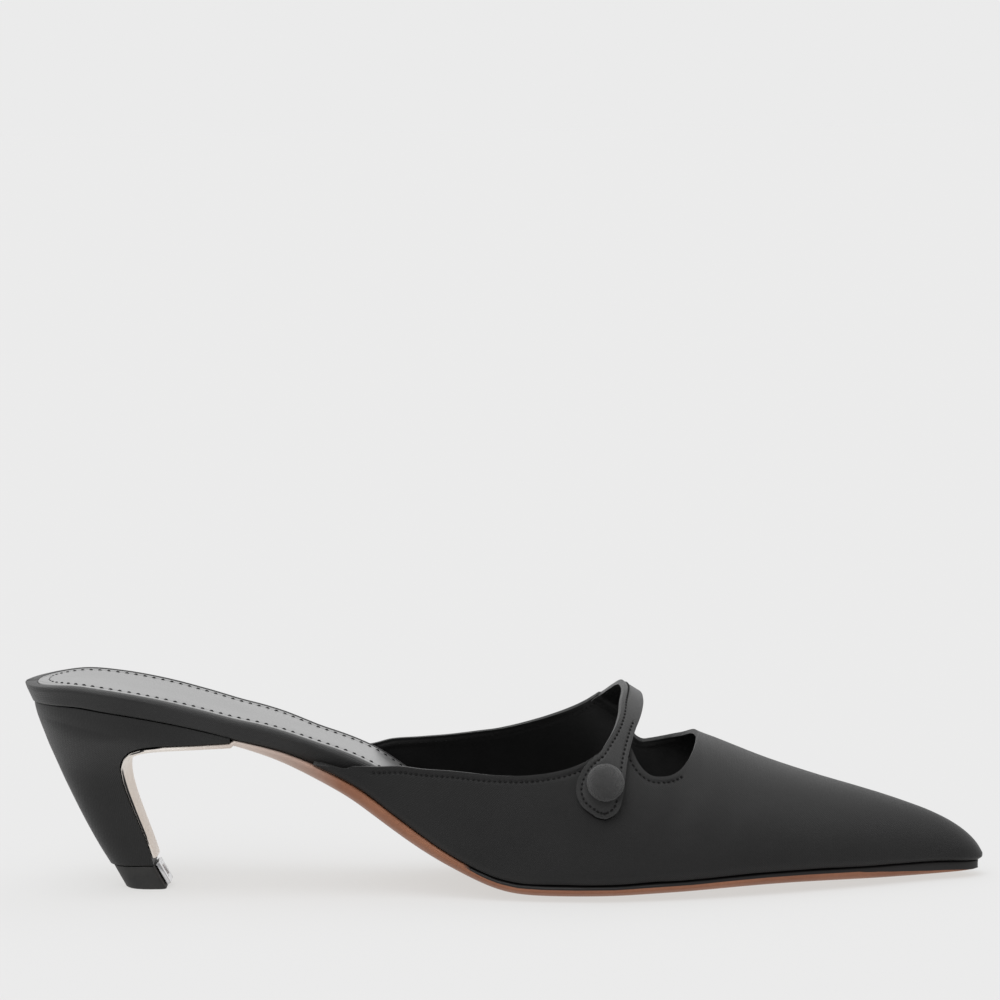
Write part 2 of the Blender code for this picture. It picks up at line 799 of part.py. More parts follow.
def build_upper(look, collection):
    """Vamp and quarters as one wall: two half grids that meet along the ridge in front of the throat."""
    shares = [-1.0, -0.5, 0.0, 0.14, 0.28, 0.42, 0.56, 0.7, 0.85, 1.0]
    grid = []
    for along in UPPER_STATIONS:
        halves = []
        for side, edge in ((-1, LATERAL_EDGE), (1, MEDIAL_EDGE)):
            top = smooth(edge, 1, along) if along < edge[-1][0] else 90.0
            half = []
            for share in shares:
                angle = (90.0 if share < 0 else top) * share
                half.append(on_last(along, side, angle))
            halves.append(half)
        grid.append(halves[0] + list(reversed(halves[1])))
    columns = len(grid[0])
    middle = len(shares) - 1
    points = [point for row in grid for point in row]
    faces = []
    for row in range(len(grid) - 1):
        for step in range(columns - 1):
            if step == middle:
                continue
            corner = row * columns + step
            faces.append((corner, corner + columns, corner + columns + 1, corner + 1))
    made = mesh_object("upper", points, faces, look, collection)
    weld_skin(made)
    wall = made.modifiers.new("wall", "SOLIDIFY")
    wall.thickness = UPPER_WALL
    wall.offset = -1.0
    wall.use_even_offset = True
    wall.use_rim = True
    return made


def weld_skin(made):
    """Joins the two halves of the open outer skin and turns it to face outwards."""
    edit = bmesh.new()
    edit.from_mesh(made.data)
    bmesh.ops.remove_doubles(edit, verts=edit.verts, dist=2e-5)
    bmesh.ops.recalc_face_normals(edit, faces=edit.faces)
    top = max(edit.faces, key=lambda face: face.calc_center_median().z)
    if top.normal.z < 0:
        bmesh.ops.reverse_faces(edit, faces=edit.faces)
    edit.to_mesh(made.data)
    edit.free()


def strap_point(along, across):
    """A point of the last counted over its ridge, from the inner side to the outer."""
    side = 1 if across > 0 else -1
    return on_last(along, side, 90.0 - abs(across))


def strap_lift(across):
    """How far the strap's outer face stands off the last: level with the upper inside, over it outside."""
    share = min(1.0, max(0.0, (90.0 - STRAP_ROOT - across) / STRAP_RAMP))
    share = share * share * (3 - 2 * share)
    return share * (STRAP_THICKNESS + FIT * 1.3)


def normal_at(along, across):
    """The way out of the last at a place under the strap."""
    step_along = 0.0015
    step_across = 1.5
    ahead = np.array(strap_point(along + step_along, across))
    behind = np.array(strap_point(along - step_along, across))
    over = np.array(strap_point(along, across + step_across))
    under = np.array(strap_point(along, across - step_across))
    normal = np.cross(ahead - behind, over - under)
    return normal / np.linalg.norm(normal)


def build_strap(look, collection):
    """The strap: continues the inner quarter, crosses the instep and widens to a round end."""
    rows = []
    root = list(STRAP_RUN[0])
    root[0] -= math.degrees(FIT / INSTEP_HEIGHT) * 1.6
    run = [tuple(root)] + STRAP_RUN[1:]
    for first, second in zip(run, run[1:]):
        rows.append(first)
        if first[0] > -30:
            rows.append(tuple((a + b) / 2 for a, b in zip(first, second)))
    rows.append(STRAP_RUN[-1])
    outer = []
    inner = []
    for across, rear, front in rows:
        outer_row = []
        inner_row = []
        for share in (0.0, 0.25, 0.5, 0.75, 1.0):
            along = rear + (front - rear) * share
            base = np.array(strap_point(along, across))
            normal = normal_at(along, across)
            lift = strap_lift(across)
            thickness = STRAP_THICKNESS
            if across > 0:
                full = min(1.0, lift / STRAP_THICKNESS)
                thickness = UPPER_WALL + (STRAP_THICKNESS - UPPER_WALL) * full
            outer_row.append(tuple(base + normal * lift))
            inner_row.append(tuple(base + normal * (lift - thickness)))
        outer.append(outer_row)
        inner.append(inner_row)
    sections = [a + list(reversed(b)) for a, b in zip(outer, inner)]
    return loft("strap", sections, look, collection, curved_ends=True)


def build_button(look, collection):
    """A covered dome with a rolled edge, turned round its own axis and set on the strap."""
    radius = BUTTON_WIDTH / 2
    points = []
    faces = []
    base = np.array(strap_point(BUTTON_ALONG_SHARE, BUTTON_ACROSS))
    normal = normal_at(BUTTON_ALONG_SHARE, BUTTON_ACROSS)
    base = base + normal * (strap_lift(BUTTON_ACROSS) + FIT * 1.6)
    first = np.cross(normal, (0.0, 0.0, 1.0))
    first /= np.linalg.norm(first)
    second = np.cross(normal, first)
    for out, up in BUTTON_PROFILE:
        for step in range(BUTTON_SIDES):
            turn = 2 * math.pi * step / BUTTON_SIDES
            way = first * math.cos(turn) + second * math.sin(turn)
            points.append(tuple(base + way * out * radius + normal * up * BUTTON_RISE))
    for row in range(len(BUTTON_PROFILE) - 1):
        for step in range(BUTTON_SIDES):
            after = (step + 1) % BUTTON_SIDES
            faces.append(
                (
                    row * BUTTON_SIDES + step,
                    row * BUTTON_SIDES + after,
                    (row + 1) * BUTTON_SIDES + after,
                    (row + 1) * BUTTON_SIDES + step,
                )
            )
    made = mesh_object("button", points, faces, look, collection)
    weld(made)
    return made


def main():
    for old in list(bpy.data.objects):
        bpy.data.objects.remove(old)
    collection = bpy.data.collections.new("kitten_heel_mule")
    cutters = bpy.data.collections.new("cutters")
    for added in (collection, cutters):
        bpy.context.scene.collection.children.link(added)
    satin = material("black_satin", (0.03, 0.03, 0.031), 0.55)
    strap_satin = material("strap_satin", (0.055, 0.055, 0.056), 0.5)
    button_satin = material("button_satin", (0.08, 0.08, 0.082), 0.5)
    wrap_satin = material("footbed_satin", (0.028, 0.028, 0.029), 0.6)
    heel_satin = material("heel_satin", (0.026, 0.026, 0.027), 0.5)
    sole_leather = material("sole_leather", (0.42, 0.22, 0.14), 0.45)
    silver_leather = material("silver_leather", (0.45, 0.46, 0.47), 0.3, 0.4)
    rubber = material("black_rubber", (0.045, 0.045, 0.043), 0.6)
    steel = material("polished_steel", (0.7, 0.7, 0.72), 0.15, 1.0)

    build_outsole(sole_leather, collection)
    build_heel(heel_satin, collection)
    build_tip(rubber, collection)
    build_plate(steel, collection, cutters)
    build_footbed(wrap_satin, collection, cutters)
    build_sock("insole", silver_leather, collection, BED_LEDGE, FIT, SOCK_THICKNESS)
    build_upper(satin, collection)
    build_strap(strap_satin, collection)
    build_button(button_satin, collection)
    for helper in cutters.objects:
        helper.hide_render = True
        helper.display_type = "WIRE"


main()
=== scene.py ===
# %% [markdown]
# # A satin kitten heel mule
# The solids of the shoe are loaded as a fixed frame. Each soft or wrapped piece is then made again with a
# finer surface in the same place: the satin upper, its strap and button, the footbed, the sock and the
# heel. The sole, the stiff top piece and its plate keep their solids' shape and get softer edges.

import json
import math

import bpy
import numpy as np
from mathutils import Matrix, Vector, noise

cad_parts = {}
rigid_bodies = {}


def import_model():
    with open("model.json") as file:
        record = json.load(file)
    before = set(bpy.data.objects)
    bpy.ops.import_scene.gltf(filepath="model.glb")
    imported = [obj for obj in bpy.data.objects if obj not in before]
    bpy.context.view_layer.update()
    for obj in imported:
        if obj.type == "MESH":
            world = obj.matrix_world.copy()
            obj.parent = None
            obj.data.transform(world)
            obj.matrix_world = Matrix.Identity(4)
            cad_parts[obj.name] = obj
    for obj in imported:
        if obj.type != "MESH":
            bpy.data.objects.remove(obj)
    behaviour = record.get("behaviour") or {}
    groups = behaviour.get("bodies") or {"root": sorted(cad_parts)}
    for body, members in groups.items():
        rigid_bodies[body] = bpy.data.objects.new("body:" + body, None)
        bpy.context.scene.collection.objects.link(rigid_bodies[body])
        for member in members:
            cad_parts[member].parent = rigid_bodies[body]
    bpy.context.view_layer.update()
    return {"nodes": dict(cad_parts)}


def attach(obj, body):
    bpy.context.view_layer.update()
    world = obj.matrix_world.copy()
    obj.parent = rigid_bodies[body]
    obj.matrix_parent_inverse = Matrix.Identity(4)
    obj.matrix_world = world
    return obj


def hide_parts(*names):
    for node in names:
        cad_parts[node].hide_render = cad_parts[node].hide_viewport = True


for leftover in list(bpy.data.objects):
    bpy.data.objects.remove(leftover)
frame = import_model()
print("nodes:", sorted(frame["nodes"]))

# %% [markdown]
# ## The shoe's own sizes
# A shoe is built on a last, a solid form of the foot. Its surface is worked out here from a few sizes and
# short tables, the same ones that shape the solids, so every seam, edge and stitch can be placed on it.
# "along" runs from 0 at the back of the seat to 1 at the toe. "side" is -1 on the outer side, which faces
# the camera, and +1 on the inner side. An angle of 0 is the last's widest line, and 90 is its ridge.

# %% Sizes
LENGTH = 0.268
BALL_WIDTH = 0.076
SEAT_WIDTH = 0.0506
HEEL_HEIGHT = 0.0537
INSTEP_HEIGHT = 0.0546
LASTING_BULGE = 0.001
SEAM_TO_WIDEST = 0.003
TOE_WIDEST_DROP = 0.0017
TOE_DROP_START = 0.75
NOSE_LENGTH = 0.008
SEAT_ROUND = 0.031
SEAT_BLUNT = 2.35
UPPER_WALL = 0.0015
STRAP_THICKNESS = 0.0018
STRAP_ROOT = 55.0
STRAP_RAMP = 50.0
BED_BACK_THICKNESS = 0.0056
BED_FRONT = 0.985
BED_LEDGE = 0.0036
SOCK_FRONT = 0.93
FIT = 0.0003
CLOSE_FIT = 1.3 * FIT
SEAM_TUCK = 1.2 * LASTING_BULGE
WALL_GAP_GROWTH = 0.25
BALL_ALONG = 0.63
# where a change starts along the shoe, and over how much of it
BED_TO_SEAM = (0.205, 0.02)
BED_TO_WALL = (0.296, 0.012)
WALL_GAP_GROWS = (0.66, 0.1)
LATERAL, MEDIAL = -1, 1

# %% Outline of the sole, seam and ridge
SOLE_OUTLINE = [
    # along, lateral, medial half width as shares of BALL_WIDTH
    (0.215, 0.288, 0.277), (0.270, 0.277, 0.258), (0.310, 0.279, 0.246), (0.350, 0.289, 0.242),
    (0.390, 0.310, 0.254), (0.440, 0.366, 0.303), (0.490, 0.424, 0.366), (0.550, 0.474, 0.437),
    (0.605, 0.495, 0.487), (0.665, 0.474, 0.502), (0.710, 0.442, 0.484), (0.760, 0.390, 0.430),
    (0.815, 0.320, 0.350), (0.865, 0.248, 0.264), (0.910, 0.177, 0.190), (0.950, 0.114, 0.122),
    (0.975, 0.084, 0.086), (1.000, 0.063, 0.063),
]
FEATHER_LINE = [
    # along, height of the seam between upper and sole as a share of HEEL_HEIGHT
    (0.215, 0.826), (0.248, 0.784), (0.271, 0.748), (0.302, 0.680), (0.350, 0.553), (0.381, 0.436),
    (0.412, 0.322), (0.443, 0.222), (0.473, 0.147), (0.495, 0.108), (0.522, 0.088), (0.600, 0.086),
    (0.635, 0.093), (0.700, 0.102), (0.757, 0.114), (0.820, 0.112), (0.865, 0.104), (0.950, 0.095),
    (1.000, 0.078),
]
LAST_RIDGE = [
    # along, height as a share of INSTEP_HEIGHT, power of the section's curve
    (0.300, 1.920, 2.30), (0.350, 1.800, 2.30), (0.430, 1.610, 2.30), (0.504, 1.410, 2.25),
    (0.560, 1.236, 2.25), (0.597, 1.100, 2.25), (0.623, 1.000, 2.25), (0.638, 0.952, 2.25),
    (0.660, 0.883, 2.25), (0.683, 0.815, 2.20), (0.705, 0.753, 2.20), (0.726, 0.711, 2.15),
    (0.746, 0.672, 2.15), (0.787, 0.592, 2.10), (0.831, 0.522, 2.05), (0.873, 0.459, 2.00),
    (0.914, 0.394, 2.00), (0.955, 0.312, 1.95), (0.976, 0.250, 1.95), (0.988, 0.200, 1.95),
    (0.996, 0.153, 1.95), (1.000, 0.112, 1.95),
]

# %% Edges of the quarters and of the cut-out
LATERAL_EDGE = [
    # along, angle
    (0.302, 0.0), (0.330, 0.4), (0.345, 1.6), (0.362, 3.6), (0.392, 8.0), (0.416, 10.8),
    (0.444, 14.2), (0.490, 18.8), (0.536, 22.8), (0.560, 26.0), (0.583, 31.4), (0.591, 34.3),
    (0.604, 39.6), (0.616, 44.2), (0.624, 46.4), (0.629, 45.3), (0.634, 41.1), (0.638, 38.6),
    (0.642, 37.0), (0.650, 35.8), (0.662, 37.3), (0.669, 39.2), (0.675, 41.7), (0.681, 45.4),
    (0.686, 50.0), (0.692, 57.0), (0.696, 64.0), (0.699, 71.0), (0.701, 79.0), (0.702, 84.0),
    (0.703, 90.0),
]
MEDIAL_EDGE = [
    # along, angle
    (0.302, 0.0), (0.330, 0.4), (0.355, 2.9), (0.381, 7.6), (0.413, 12.3), (0.442, 16.3),
    (0.474, 20.8), (0.495, 23.6), (0.517, 26.7), (0.538, 30.0), (0.551, 32.6), (0.564, 35.8),
    (0.577, 40.0), (0.588, 44.8), (0.598, 51.0), (0.604, STRAP_ROOT), (0.6332, STRAP_ROOT),
    (0.6360, 45.0), (0.6400, 38.4), (0.6470, 37.6), (0.6570, 40.2), (0.671, 46.1), (0.683, 53.2),
    (0.691, 59.5), (0.697, 68.0), (0.7005, 77.0), (0.702, 84.0), (0.703, 90.0),
]

# %% The strap's run over the instep
STRAP_RUN = [
    # across (90 at the inner side, 0 on the ridge, negative outside), rear edge along, front edge along
    (42.0, 0.5948, 0.6334), (39.0, 0.5984, 0.6332), (37.0, 0.6013, 0.6331), (35.0, 0.6042, 0.6330),
    (28.0, 0.6108, 0.6348), (18.0, 0.6170, 0.6370), (8.0, 0.6202, 0.6385),
    (0.0, 0.6214, 0.6396), (-8.0, 0.6212, 0.6402), (-15.0, 0.6200, 0.6402), (-23.5, 0.6176, 0.6386),
    (-31.5, 0.6160, 0.6352), (-38.0, 0.6130, 0.6311), (-43.5, 0.6088, 0.6280), (-49.5, 0.6022, 0.6246),
    (-54.5, 0.5956, 0.6224), (-58.0, 0.5875, 0.6213), (-60.5, 0.5818, 0.6206), (-63.5, 0.5768, 0.6199),
    (-66.5, 0.5733, 0.6186), (-69.0, 0.5722, 0.6170), (-71.0, 0.5737, 0.6149), (-72.5, 0.5768, 0.6122),
    (-73.7, 0.5822, 0.6085), (-74.6, 0.5900, 0.6035),
]

# %% The footbed
BED_RUN = [
    # along, underside as a share of HEEL_HEIGHT, thickness as a share of BED_BACK_THICKNESS
    (0.000, 1.000, 0.86), (0.048, 1.002, 1.00), (0.094, 0.972, 1.07), (0.138, 0.932, 1.05),
    (0.183, 0.880, 0.99), (0.220, 0.828, 0.97), (0.250, 0.787, 1.00), (0.271, 0.754, 1.00),
    (0.302, 0.686, 1.08), (0.332, 0.611, 1.29), (0.350, 0.559, 1.43), (0.373, 0.475, 1.64),
    (0.390, 0.410, 1.68), (0.440, 0.238, 1.37), (0.495, 0.114, 0.88), (0.550, 0.110, 0.58),
    (1.000, 0.110, 0.52),
]
BED_OUTLINE = [
    # along, lateral, medial half width as shares of SEAT_WIDTH
    (0.000, 0.500, 0.500), (0.110, 0.500, 0.500), (0.150, 0.493, 0.490), (0.190, 0.478, 0.468),
    (0.230, 0.458, 0.436), (0.270, 0.434, 0.396), (0.302, 0.401, 0.354),
]

# %% [markdown]
# ## Reading the tables
# Each column becomes one fair curve: it passes smoothly through its rows with no overshoot, and is then
# blurred over a few millimetres, as a last maker sands the form. A shape with even curvature gives the
# satin long unbroken highlights.

# %% Fair curves through the tables
FINE = 2401


def through(rows, column):
    """A dense reading of one column, monotone between its rows."""
    places = np.array([row[0] for row in rows], float)
    values = np.array([row[column] for row in rows], float)
    if places[0] > places[-1]:
        places, values = places[::-1], values[::-1]
    steps = np.diff(places)
    slopes = np.diff(values) / steps
    turns = np.concatenate([[slopes[0]], np.zeros(len(slopes) - 1), [slopes[-1]]])
    for i in range(1, len(slopes)):
        if slopes[i - 1] * slopes[i] > 0:
            first = 2 * steps[i] + steps[i - 1]
            second = steps[i] + 2 * steps[i - 1]
            turns[i] = (first + second) / (first / slopes[i - 1] + second / slopes[i])
    at = np.linspace(places[0], places[-1], FINE)
    index = np.clip(np.searchsorted(places, at, side="right") - 1, 0, len(steps) - 1)
    share = (at - places[index]) / steps[index]
    left = (1 + 2 * share) * (1 - share) ** 2 * values[index]
    left += share * (1 - share) ** 2 * steps[index] * turns[index]
    right = share**2 * (3 - 2 * share) * values[index + 1]
    right += share**2 * (share - 1) * steps[index] * turns[index + 1]
    return at, left + right


def fair(rows, column, blur=0.004):
    """A function that reads the column after blurring it over a share of the length."""
    at, values = through(rows, column)
    width = blur / (at[1] - at[0])
    reach = int(3 * width)
    weights = np.exp(-0.5 * (np.arange(-reach, reach + 1) / width) ** 2)
    before = 2 * values[0] - values[reach:0:-1]
    after = 2 * values[-1] - values[-2:-reach - 2:-1]
    values = np.convolve(np.concatenate([before, values, after]), weights / weights.sum(), "valid")
    return lambda along: np.interp(along, at, values)


outline = {LATERAL: fair(SOLE_OUTLINE, 1), MEDIAL: fair(SOLE_OUTLINE, 2)}
bed_outline = {LATERAL: fair(BED_OUTLINE, 1), MEDIAL: fair(BED_OUTLINE, 2)}
edge_angle = {LATERAL: fair(LATERAL_EDGE, 1, 0.0009), MEDIAL: fair(MEDIAL_EDGE, 1, 0.0009)}
seam_height = fair(FEATHER_LINE, 1, 0.003)
ridge_height = fair(LAST_RIDGE, 1, 0.003)
section_power = fair(LAST_RIDGE, 2, 0.006)
bed_underside = fair(BED_RUN, 1, 0.003)
bed_thickness = fair(BED_RUN, 2, 0.003)
strap_rear = fair(STRAP_RUN, 1, 0.6)
strap_front = fair(STRAP_RUN, 2, 0.6)

# %% Points on the last and on the footbed


def along_to_x(along):
    return (along - 0.5) * LENGTH


def x_to_along(x):
    return x / LENGTH + 0.5


def rising(values, start, reach):
    """0 up to start, then a straight rise to 1 over reach."""
    return np.clip((values - start) / reach, 0, 1)


def bell(values, width):
    return np.exp(-((values / width) ** 2))


def nose(along, tip=1.0):
    reach = NOSE_LENGTH / LENGTH
    share = rising(along, tip - reach, reach)
    return np.sqrt(np.maximum(0, 1 - share * share))


def feather(along):
    return seam_height(along) * HEEL_HEIGHT


def on_last(along, side, angle):
    """Points of the upper's outer surface, for arrays of along and angle."""
    along, angle = np.broadcast_arrays(np.asarray(along, float), np.asarray(angle, float))
    seam = feather(along)
    to_toe = rising(along, TOE_DROP_START, 1 - TOE_DROP_START)
    widest = seam + SEAM_TO_WIDEST - TOE_WIDEST_DROP * to_toe
    rise = ridge_height(along) * INSTEP_HEIGHT - widest
    power = section_power(along)
    half = (outline[side](along) * BALL_WIDTH + LASTING_BULGE) * nose(along)
    turn = np.radians(np.clip(angle, 0, 90))
    out = half * np.maximum(0, np.cos(turn)) ** (2 / power)
    up = widest + rise * np.maximum(0, np.sin(turn)) ** (2 / power)
    under = np.clip(-angle / 90, 0, 1)
    reach = NOSE_LENGTH / LENGTH
    point = rising(along, 1 - reach, reach) ** 2
    inset = SEAM_TUCK * under * under
    out = np.where(angle < 0, np.maximum(0, half - inset * (1 - point)), out)
    up = np.where(angle < 0, widest - (widest - seam - FIT) * under, up)
    x = along_to_x(along) - np.where(angle < 0, inset * point, 0)
    return np.stack([x, side * out, up], -1)


def bed_top(along):
    return bed_underside(along) * HEEL_HEIGHT + bed_thickness(along) * BED_BACK_THICKNESS


def bed_under(along):
    behind = bed_underside(along) * HEEL_HEIGHT
    return behind + (feather(along) + FIT - behind) * rising(along, *BED_TO_SEAM)


def bed_half(along, side, inset=0.0, front=BED_FRONT):
    own = bed_outline[side](along) * SEAT_WIDTH
    gap = (UPPER_WALL + CLOSE_FIT) * (1 + WALL_GAP_GROWTH * rising(along, *WALL_GAP_GROWS))
    inside = outline[side](along) * BALL_WIDTH + LASTING_BULGE - gap
    half = own + (inside - own) * rising(along, *BED_TO_WALL)
    back = rising(along, inset / LENGTH, (SEAT_ROUND - inset) / LENGTH)
    rounding = np.maximum(0, 1 - (1 - back) ** SEAT_BLUNT) ** (1 / SEAT_BLUNT)
    return np.maximum(0, half - inset) * rounding * nose(along, front - inset / LENGTH)


ball_sides = [float(on_last(BALL_ALONG, side, 0)[1]) for side in (LATERAL, MEDIAL)]
print("ball width over the upper:", round((ball_sides[1] - ball_sides[0]) * 1000, 1), "mm")

# %% [markdown]
# ## Tools of the bench
# Everything is deselected before an operator runs. A grid primitive is laid over a surface by moving its
# points, which keeps a clean net of four-sided faces that follows the piece, and its UV map is measured in
# metres along the two ways of the net, so the weave of the cloth keeps its scale.

# %% Helpers for meshes


def pick(*objects):
    """Selects only these, the last one active."""
    bpy.ops.object.select_all(action="DESELECT")
    for made in objects:
        made.select_set(True)
    bpy.context.view_layer.objects.active = objects[-1]


def in_edit(made, *steps):
    """Runs edit mode steps with everything in the mesh selected first."""
    pick(made)
    bpy.ops.object.mode_set(mode="EDIT")
    bpy.ops.mesh.select_all(action="SELECT")
    for step in steps:
        step()
    bpy.ops.object.mode_set(mode="OBJECT")


def points_of(made, kind="co"):
    """The places of a mesh's points, or with "normal" their ways out."""
    found = np.empty(len(made.data.vertices) * 3)
    made.data.vertices.foreach_get(kind, found)
    return found.reshape(-1, 3)


def run_along(line):
    """Length along a line of points, from 0 at the first."""
    return np.concatenate([[0], np.cumsum(np.linalg.norm(np.diff(line, axis=0), axis=1))])


def move_points(made, points):
    made.data.vertices.foreach_set("co", np.asarray(points, float).ravel())
    made.data.update()


def lay_grid(name, net):
    """A grid primitive with one point for each place in net, which is rows by columns by 3."""
    rows, columns = net.shape[:2]
    bpy.ops.object.select_all(action="DESELECT")
    bpy.ops.mesh.primitive_grid_add(x_subdivisions=rows - 1, y_subdivisions=columns - 1, size=1)
    made = bpy.context.object
    made.name = made.data.name = name
    flat = points_of(made)
    row = np.rint((flat[:, 0] + 0.5) * (rows - 1)).astype(int)
    column = np.rint((flat[:, 1] + 0.5) * (columns - 1)).astype(int)
    move_points(made, net[row, column])
    run = np.linalg.norm(np.diff(net, axis=0), axis=2).min(1)
    run = np.concatenate([[0], np.cumsum(run)])
    rise = np.linalg.norm(np.diff(net, axis=1), axis=2)
    rise = np.concatenate([np.zeros((rows, 1)), np.cumsum(rise, 1)], 1)
    uv = np.stack([run[row], rise[row, column]], 1)
    corner = np.empty(len(made.data.loops), int)
    made.data.loops.foreach_get("vertex_index", corner)
    made.data.uv_layers.active.data.foreach_set("uv", uv[corner].ravel())
    return made


def merged(made, distance=1e-6):
    """Closes seams and poles, and turns the faces outwards."""
    in_edit(
        made,
        lambda: bpy.ops.mesh.remove_doubles(threshold=distance),
        lambda: bpy.ops.mesh.dissolve_degenerate(threshold=distance),
        lambda: bpy.ops.mesh.normals_make_consistent(inside=False),
    )


def apply_modifier(made, kind, **settings):
    pick(made)
    step = made.modifiers.new(kind.lower(), kind)
    for key, value in settings.items():
        setattr(step, key, value)
    bpy.ops.object.modifier_apply(modifier=step.name)


def bevelled(made, width, segments, degrees):
    limit = math.radians(degrees)
    apply_modifier(made, "BEVEL", width=width, segments=segments, limit_method="ANGLE", angle_limit=limit)


def walled(made, finishes, thickness, fold):
    """Gives an open skin its wall, with the second finish inside, and rounds its folded edge."""
    for finish in finishes:
        made.data.materials.append(finish.material)
    apply_modifier(made, "SOLIDIFY", thickness=thickness, offset=-1.0, use_rim=True, material_offset=1)
    bevelled(made, fold, 3, 55)


def face_up(made):
    """Turns an open skin so that it looks up at its highest point."""
    if points_of(made, "normal")[points_of(made)[:, 2].argmax(), 2] < 0:
        in_edit(made, lambda: bpy.ops.mesh.flip_normals())


def open_edges(made):
    """How many edges don't have two faces."""
    count = np.zeros(len(made.data.edges), int)
    index = np.empty(len(made.data.loops), int)
    made.data.loops.foreach_get("edge_index", index)
    np.add.at(count, index, 1)
    return int((count != 2).sum())


def finished(made, smooth, finishes, slot_name, *nodes):
    """Shades a piece and hands it to the shoe's one body, in the place of the solids it stands for."""
    for finish in finishes:
        made.data.materials.append(finish.material)
    pick(made)
    bpy.ops.object.shade_smooth_by_angle(angle=math.radians(smooth))
    if nodes:
        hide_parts(*nodes)
    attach(made, "root")
    made.data.calc_loop_triangles()
    print(made.name, len(made.data.loop_triangles), "triangles,", open_edges(made), "open edges")


def ring_loft(name, rings):
    """A closed form through rings that are rows by points by 3."""
    made = lay_grid(name, np.concatenate([rings, rings[:, :1]], 1))
    merged(made)
    in_edit(
        made,
        lambda: bpy.ops.mesh.select_all(action="DESELECT"),
        lambda: bpy.ops.mesh.select_non_manifold(extend=False),
        lambda: bpy.ops.mesh.fill_holes(sides=0),
    )
    return made


SHARP_EDGE = 38
EDGE_CREASE = 0.9


def soft_copy(node, name, levels=0):
    """A copy of a solid whose flat facets are smoothed away in levels and whose real edges are kept."""
    bpy.ops.object.select_all(action="DESELECT")
    made = bpy.data.objects.new(name, frame["nodes"][node].data.copy())
    bpy.context.scene.collection.objects.link(made)
    made.data.name = name
    made.data.materials.clear()
    in_edit(
        made,
        lambda: bpy.ops.mesh.remove_doubles(threshold=2e-6),
        lambda: bpy.ops.mesh.tris_convert_to_quads(face_threshold=0.9, shape_threshold=0.9),
        lambda: bpy.ops.mesh.select_all(action="DESELECT"),
        lambda: bpy.ops.mesh.edges_select_sharp(sharpness=math.radians(SHARP_EDGE)),
        lambda: bpy.ops.transform.edge_crease(value=EDGE_CREASE),
    )
    if levels:
        apply_modifier(made, "SUBSURF", levels=levels, render_levels=levels)
    return made


def set_sockets(node, **values):
    """Sets plain values; an underscore in a key stands for a space."""
    for key, value in values.items():
        node.inputs[key.replace("_", " ")].default_value = value


# %% [markdown]
# ## Camera, floor and light
# The photograph was taken square to the shoe with a long lens, a little above it, and rolled by less than
# a degree. The shoe stands low in the frame. The floor is pale and even up to the horizon and gives a part
# of its own light, so the shadows on it stay faint. The rest comes from wide soft sources: a sky that is
# brighter behind and over the set than in front of it, and three broad suns.

# %% Camera
CAMERA_PLACE = (-0.00035, -1.23818, 0.21927)
CAMERA_PITCH = 84.846
CAMERA_ROLL = 0.797
CAMERA_TURN = -0.072
CAMERA_LENS = 160.2

camera_data = bpy.data.cameras.new("camera")
camera = bpy.data.objects.new("camera", camera_data)
bpy.context.scene.collection.objects.link(camera)
camera_data.sensor_width = 36
camera_data.lens = CAMERA_LENS
camera_data.clip_start = 0.05
camera_data.clip_end = 100
camera.location = CAMERA_PLACE
camera.rotation_euler = [math.radians(turn) for turn in (CAMERA_PITCH, CAMERA_ROLL, CAMERA_TURN)]
bpy.context.scene.camera = camera

# %% Floor
FLOOR_SIZE = 60.0
FLOOR_SHADE = (0.155, 0.160, 0.171, 1)
FLOOR_GLOW = (0.612, 0.604, 0.588, 1)

bpy.ops.object.select_all(action="DESELECT")
bpy.ops.mesh.primitive_plane_add(size=FLOOR_SIZE, location=(0, 0, 0))
floor = bpy.context.object
floor.name = "floor"
floor_paper = bpy.data.materials.new("floor_paper")
floor_paper.use_nodes = True
floor_shader = floor_paper.node_tree.nodes["Principled BSDF"]
set_sockets(floor_shader, Base_Color=FLOOR_SHADE, Roughness=1.0, Specular_IOR_Level=0.0)
set_sockets(floor_shader, Emission_Color=FLOOR_GLOW, Emission_Strength=1.0)
floor.data.materials.append(floor_paper)

# %% Sky of the studio
SKY_BEHIND = 0.831
SKY_OVERHEAD = 1.2
SKY_IN_FRONT = 0.24
KEY_STRENGTH = 0.9
TOP_STRENGTH = 1.0
FILL_STRENGTH = 0.1

world = bpy.data.worlds.new("studio")
bpy.context.scene.world = world
world.use_nodes = True
sky = world.node_tree
sky_direction = sky.nodes.new("ShaderNodeTexCoord")
sky_axes = sky.nodes.new("ShaderNodeSeparateXYZ")
sky.links.new(sky_direction.outputs["Generated"], sky_axes.inputs[0])


def sky_share(axis, start, end, low, high):
    """Light that changes from low to high as one axis of the direction goes from start to end."""
    node = sky.nodes.new("ShaderNodeMapRange")
    sky.links.new(sky_axes.outputs[axis], node.inputs["Value"])
    set_sockets(node, From_Min=start, From_Max=end, To_Min=low, To_Max=high)
    return node.outputs[0]


sky_light = sky.nodes.new("ShaderNodeMath")
sky_light.operation = "MULTIPLY"
sky.links.new(sky_share("Y", -0.75, -0.02, SKY_IN_FRONT, SKY_BEHIND), sky_light.inputs[0])
sky.links.new(sky_share("Z", 0.15, 0.9, 1.0, SKY_OVERHEAD / SKY_BEHIND), sky_light.inputs[1])
sky.links.new(sky_light.outputs[0], sky.nodes["Background"].inputs["Color"])
bpy.context.scene.view_settings.view_transform = "Standard"


